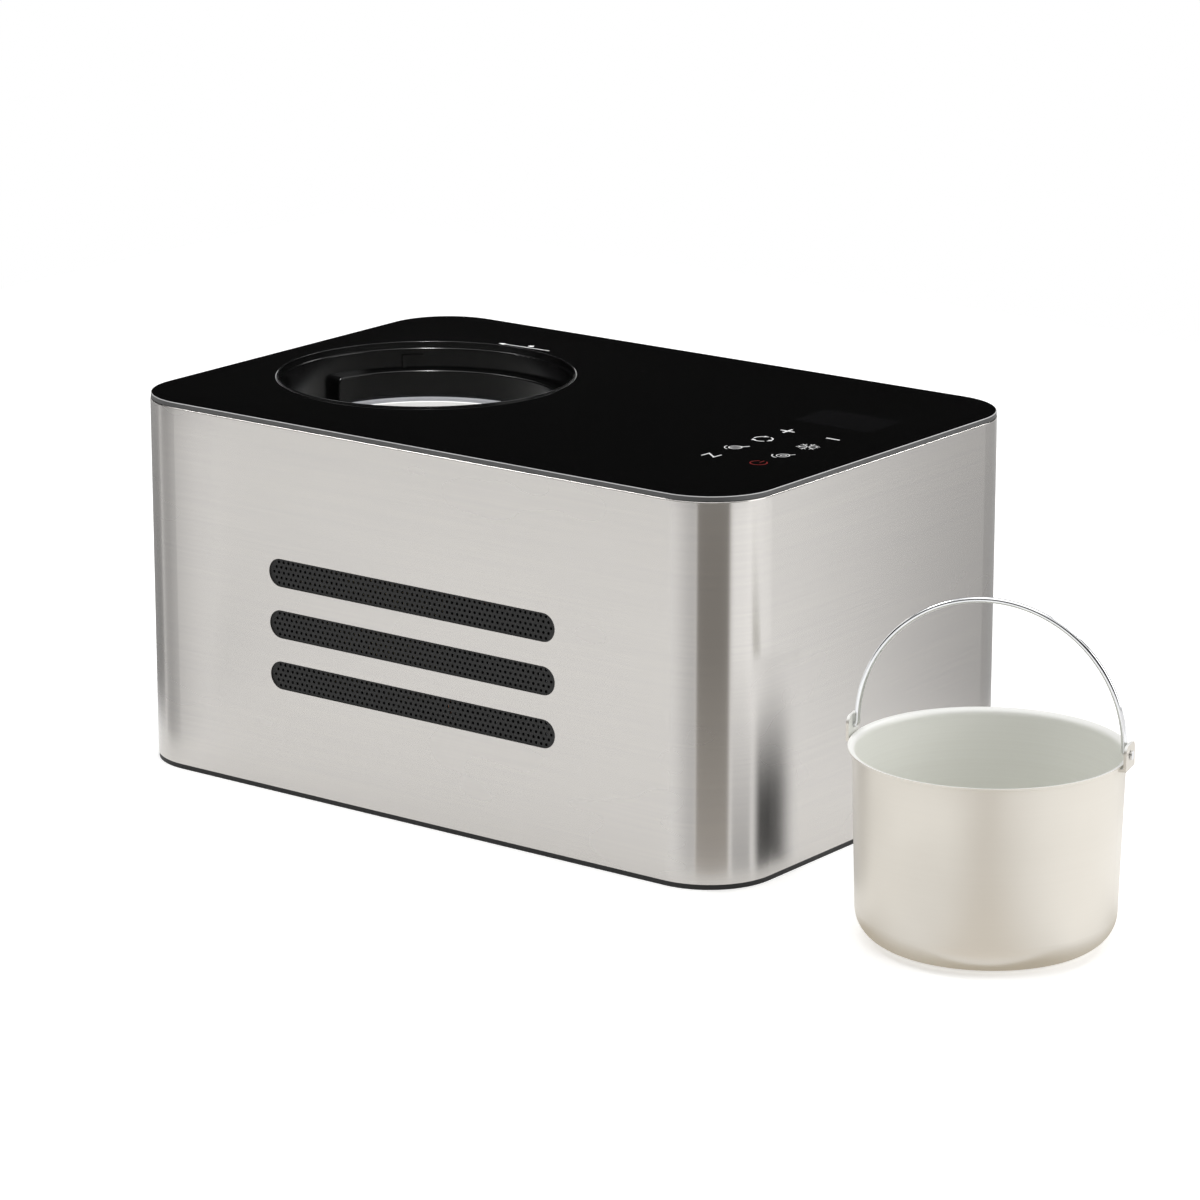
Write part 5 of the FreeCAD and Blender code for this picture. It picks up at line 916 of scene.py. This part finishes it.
@dataclass
class Studio:
    """A pale floor, a white room, soft lamps, glowing cards that only reflections show and that paint reflections and
    shade, and the camera.
    """

    floor_size: float = 2.4
    room_light: float = 0.5
    camera_place: tuple[float, float, float] = (1.67148, -2.16102, 0.84608)
    camera_azimuth: float = 37.370
    camera_elevation: float = 15.309
    lens_mm: float = 148.96
    sensor_mm: float = 36.0
    band_radius: float = 2.4
    band_levels: tuple[float, float] = (0.3, 1.9)
    band_sides: int = 48
    spot_blend: float = 0.4
    spot_size: float = 0.08

    def build(self) -> None:
        """Set up the studio in order."""
        bpy.context.scene.view_settings.view_transform = "Standard"
        self.camera()
        self.floor()
        self.room()
        self.lamp("overhead_softbox", (0.1, -0.3, 2.3), (0.1, 0.0, 0.0), size=1.8, power=14.0)
        self.lamp("left_softbox", (-1.6, -1.5, 1.5), (0.0, 0.0, 0.1), size=1.4, power=3.5)
        self.lamp("right_softbox", (1.9, 0.65, 0.9), (0.3, -0.05, 0.1), size=1.2, power=14.0)
        self.lamp("left_edge_light", (-1.3, -0.55, 1.9), (-0.1, 0.0, 0.2), size=0.5, power=9.0)
        self.lamp("rear_edge_light", (0.6, 1.85, 1.6), (0.0, 0.0, 0.2), size=0.5, power=9.0)
        self.spot("well_spot", (0.5, -0.8, 2.0), (-0.165, 0.07, 0.17), cone=6.5, power=280.0)
        self.band()
        self.cards()

    def camera(self) -> None:
        """Stand the camera where the photograph was taken from."""
        data = bpy.data.cameras.new("photo_camera")
        data.lens = self.lens_mm
        data.sensor_width = self.sensor_mm
        data.sensor_fit = "HORIZONTAL"
        camera = bpy.data.objects.new("photo_camera", data)
        camera.location = self.camera_place
        camera.rotation_euler = (math.radians(90 - self.camera_elevation), 0.0, math.radians(self.camera_azimuth))
        bpy.context.scene.collection.objects.link(camera)
        bpy.context.scene.camera = camera

    def sheet(self, name: str, corners: Sequence[Sequence[float]], finish: Finish) -> bpy.types.Object:
        """Make one flat stage piece between four corners, with coordinates of its own from -0.5 to 0.5.

        Args:
            name: the piece's name.
            corners: low left, low right and high left corners in metres.
            finish: what it wears.

        Returns:
            The stage piece.
        """
        origin, along, across = (Vector(corner) for corner in corners)
        mesh = bmesh.new()
        mesh.faces.new([mesh.verts.new((x, y, 0.0)) for x, y in ((-0.5, -0.5), (0.5, -0.5), (0.5, 0.5), (-0.5, 0.5))])
        data = bpy.data.meshes.new(name)
        mesh.to_mesh(data)
        mesh.free()
        data.materials.append(finish.material())
        piece = bpy.data.objects.new(name, data)
        u, v = along - origin, across - origin
        normal = u.cross(v).normalized()
        middle = origin + u / 2 + v / 2
        piece.matrix_world = Matrix(((*u, 0.0), (*v, 0.0), (*normal, 0.0), (*middle, 1.0))).transposed()
        bpy.context.scene.collection.objects.link(piece)
        return piece

    def floor(self) -> None:
        """Lay the floor under everything."""
        half = self.floor_size / 2
        corners = ((-half, -half, 0.0), (half, -half, 0.0), (-half, half, 0.0))
        self.sheet("floor", corners, PaleFloor("matt_white_board"))

    def room(self) -> None:
        """Fill the room with soft light, and show it white."""
        world = bpy.data.worlds.new("white_room")
        world.use_nodes = True
        tree = world.node_tree
        tree.nodes.clear()
        light = add(tree, "ShaderNodeBackground", {"Color": (1.0, 1.0, 1.0, 1.0), "Strength": self.room_light})
        white = add(tree, "ShaderNodeBackground", {"Color": (1.0, 1.0, 1.0, 1.0), "Strength": 1.0})
        both = add(tree, "ShaderNodeMixShader", {0: seen(tree), 1: light.outputs[0], 2: white.outputs[0]})
        add(tree, "ShaderNodeOutputWorld", {"Surface": both.outputs[0]})
        bpy.context.scene.world = world

    def lamp(self, name: str, place: Sequence[float], target: Sequence[float], size: float, power: float) -> None:
        """Hang one square softbox.

        Args:
            name: the lamp's name.
            place: where it hangs.
            target: what it faces.
            size: its side.
            power: its power in watts.
        """
        data = bpy.data.lights.new(name, "AREA")
        data.shape = "SQUARE"
        data.size = size
        data.energy = power
        lamp = bpy.data.objects.new(name, data)
        lamp.location = place
        lamp.rotation_euler = (Vector(target) - Vector(place)).to_track_quat("-Z", "Y").to_euler()
        bpy.context.scene.collection.objects.link(lamp)

    def spot(self, name: str, place: Sequence[float], target: Sequence[float], cone: float, power: float) -> None:
        """Hang one narrow spot.

        Args:
            name: the lamp's name.
            place: where it hangs.
            target: what it lights.
            cone: the full angle of its cone in degrees.
            power: its power in watts, as if it shone all round.
        """
        data = bpy.data.lights.new(name, "SPOT")
        data.spot_size = math.radians(cone)
        data.spot_blend = self.spot_blend
        data.shadow_soft_size = self.spot_size
        data.energy = power
        lamp = bpy.data.objects.new(name, data)
        lamp.location = place
        lamp.rotation_euler = (Vector(target) - Vector(place)).to_track_quat("-Z", "Y").to_euler()
        bpy.context.scene.collection.objects.link(lamp)

    def only_reflected(self, piece: bpy.types.Object) -> None:
        """Keep a card out of everything but reflections.

        Args:
            piece: the card.
        """
        piece.visible_camera = False
        piece.visible_diffuse = False
        piece.visible_shadow = False
        piece.visible_transmission = False

    def band(self) -> None:
        """Stand a dark band all round, which the level glass mirrors as black."""
        sides = self.band_sides
        mesh = bmesh.new()
        rims = [[mesh.verts.new((self.band_radius * math.cos(math.tau * side / sides),
                                 self.band_radius * math.sin(math.tau * side / sides), level))
                 for side in range(sides)] for level in self.band_levels]
        for side in range(sides):
            after = (side + 1) % sides
            mesh.faces.new((rims[0][side], rims[0][after], rims[1][after], rims[1][side]))
        data = bpy.data.meshes.new("dark_band")
        mesh.to_mesh(data)
        mesh.free()
        felt = Moulded("black_felt", "#040404", "#060606", roughness=0.95, ior=1.4, texture_mm=2.0, depth_mm=0.2,
                       strength=0.5)
        data.materials.append(felt.material())
        band = bpy.data.objects.new("dark_band", data)
        bpy.context.scene.collection.objects.link(band)
        self.only_reflected(band)

    def cards(self) -> None:
        """Stand the glowing cards that paint reflections, shade and highlights on the steel and the bowl."""
        # Each card glows with a painted reflection. The corner, corner fade, low, right, left, left corner and bowl
        # cards paint darker reflections, which are painted shade. The bright corner card paints shade low down and a
        # painted highlight higher up. The bright card paints a painted highlight over the floor's reflection. The
        # foot card paints the bowl's contact shadow into the reflections, a painted shadow.
        for name, corners, finish in (
                ("corner_card", ((0.1954, -0.1626, 0.0), (0.2276, -0.1353, 0.0), (0.1954, -0.1626, 0.214)),
                 Card("brown_corner_painted_reflection", low=0.58, high=0.34, tint="#f8f2ea", fades=(0.08, 0.1, 0.01, 0.02))),
                ("corner_fade_card", ((0.163, -0.167, 0.0), (0.197, -0.163, 0.0), (0.163, -0.167, 0.214)),
                 Card("grey_corner_painted_reflection", low=0.8, high=0.8, fades=(0.9, 0.02, 0.01, 0.02))),
                ("low_card", ((0.2355, -0.108, 0.0), (0.226, -0.058, 0.0), (0.2355, -0.108, 0.12)),
                 Card("dark_low_painted_reflection", low=0.06, high=0.06, fades=(0.25, 0.3, 0.01, 0.75))),
                ("bright_corner_card", ((0.2276, -0.1353, 0.0), (0.2355, -0.108, 0.0), (0.2276, -0.1353, 0.214)),
                 Card("white_corner_painted_reflection", low=0.6, high=1.32, fades=(0.15, 0.15, 0.01, 0.02))),
                ("right_card", ((0.3436, 0.0755, 0.002), (1.0796, 1.2085, 0.002), (-0.4104, 0.5655, 0.002)),
                 Card("grey_right_painted_reflection", low=0.53, high=0.47, fades=(0.08, 0.1, 0.167, 0.1))),
                ("left_card", ((-1.5, -0.45, 0.002), (-0.23, -0.45, 0.002), (-1.5, 1.0, 0.002)),
                 Card("grey_left_painted_reflection", low=0.35, high=0.35, fades=(0.1, 0.1, 0.2, 0.2))),
                ("left_corner_card", ((-0.190, -0.192, 0.0), (-0.246, -0.149, 0.0), (-0.190, -0.192, 0.214)),
                 Card("grey_left_corner_painted_reflection", low=0.57, high=0.57, fades=(0.6, 0.2, 0.01, 0.02))),
                ("bowl_card", ((0.3296, -0.1996, 0.002), (0.4476, -0.1236, 0.002), (0.6725, -0.733, 0.002)),
                 Card("brown_bowl_painted_reflection", low=1.06, high=0.64, tint="#f8f2ea", fades=(0.4, 0.4, 0.02, 0.3),
                      around=1.1)),
                ("foot_card", ((0.2655, -0.195, 0.0015), (0.4415, -0.195, 0.0015), (0.2655, -0.019, 0.0015)),
                 Card("brown_foot_painted_shadow", low=0.7, high=0.7, tint="#f4ead8", fades=(0.2, 0.2, 0.2, 0.2), around=1.05)),
                ("bright_card", ((0.3, -0.3, 0.001), (1.3, -0.3, 0.001), (0.3, 0.5, 0.001)),
                 Card("white_right_painted_reflection", low=1.35, high=1.35, fades=(0.1, 0.2, 0.2, 0.3)))):
            self.only_reflected(self.sheet(name, corners, finish))


def main() -> None:
    """Build and dress the part in order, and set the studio."""
    logging.basicConfig(level=logging.INFO, format="%(message)s")
    top = GlassTop()
    for assembly in (Housing(), ColdWell(), CoolingCircuit(), Electrics(), Bowl(), top):
        assembly.dress()
        log.info("%s is dressed", type(assembly).__name__)
    top.build()
    Studio().build()


if __name__ == "__main__":
    main()
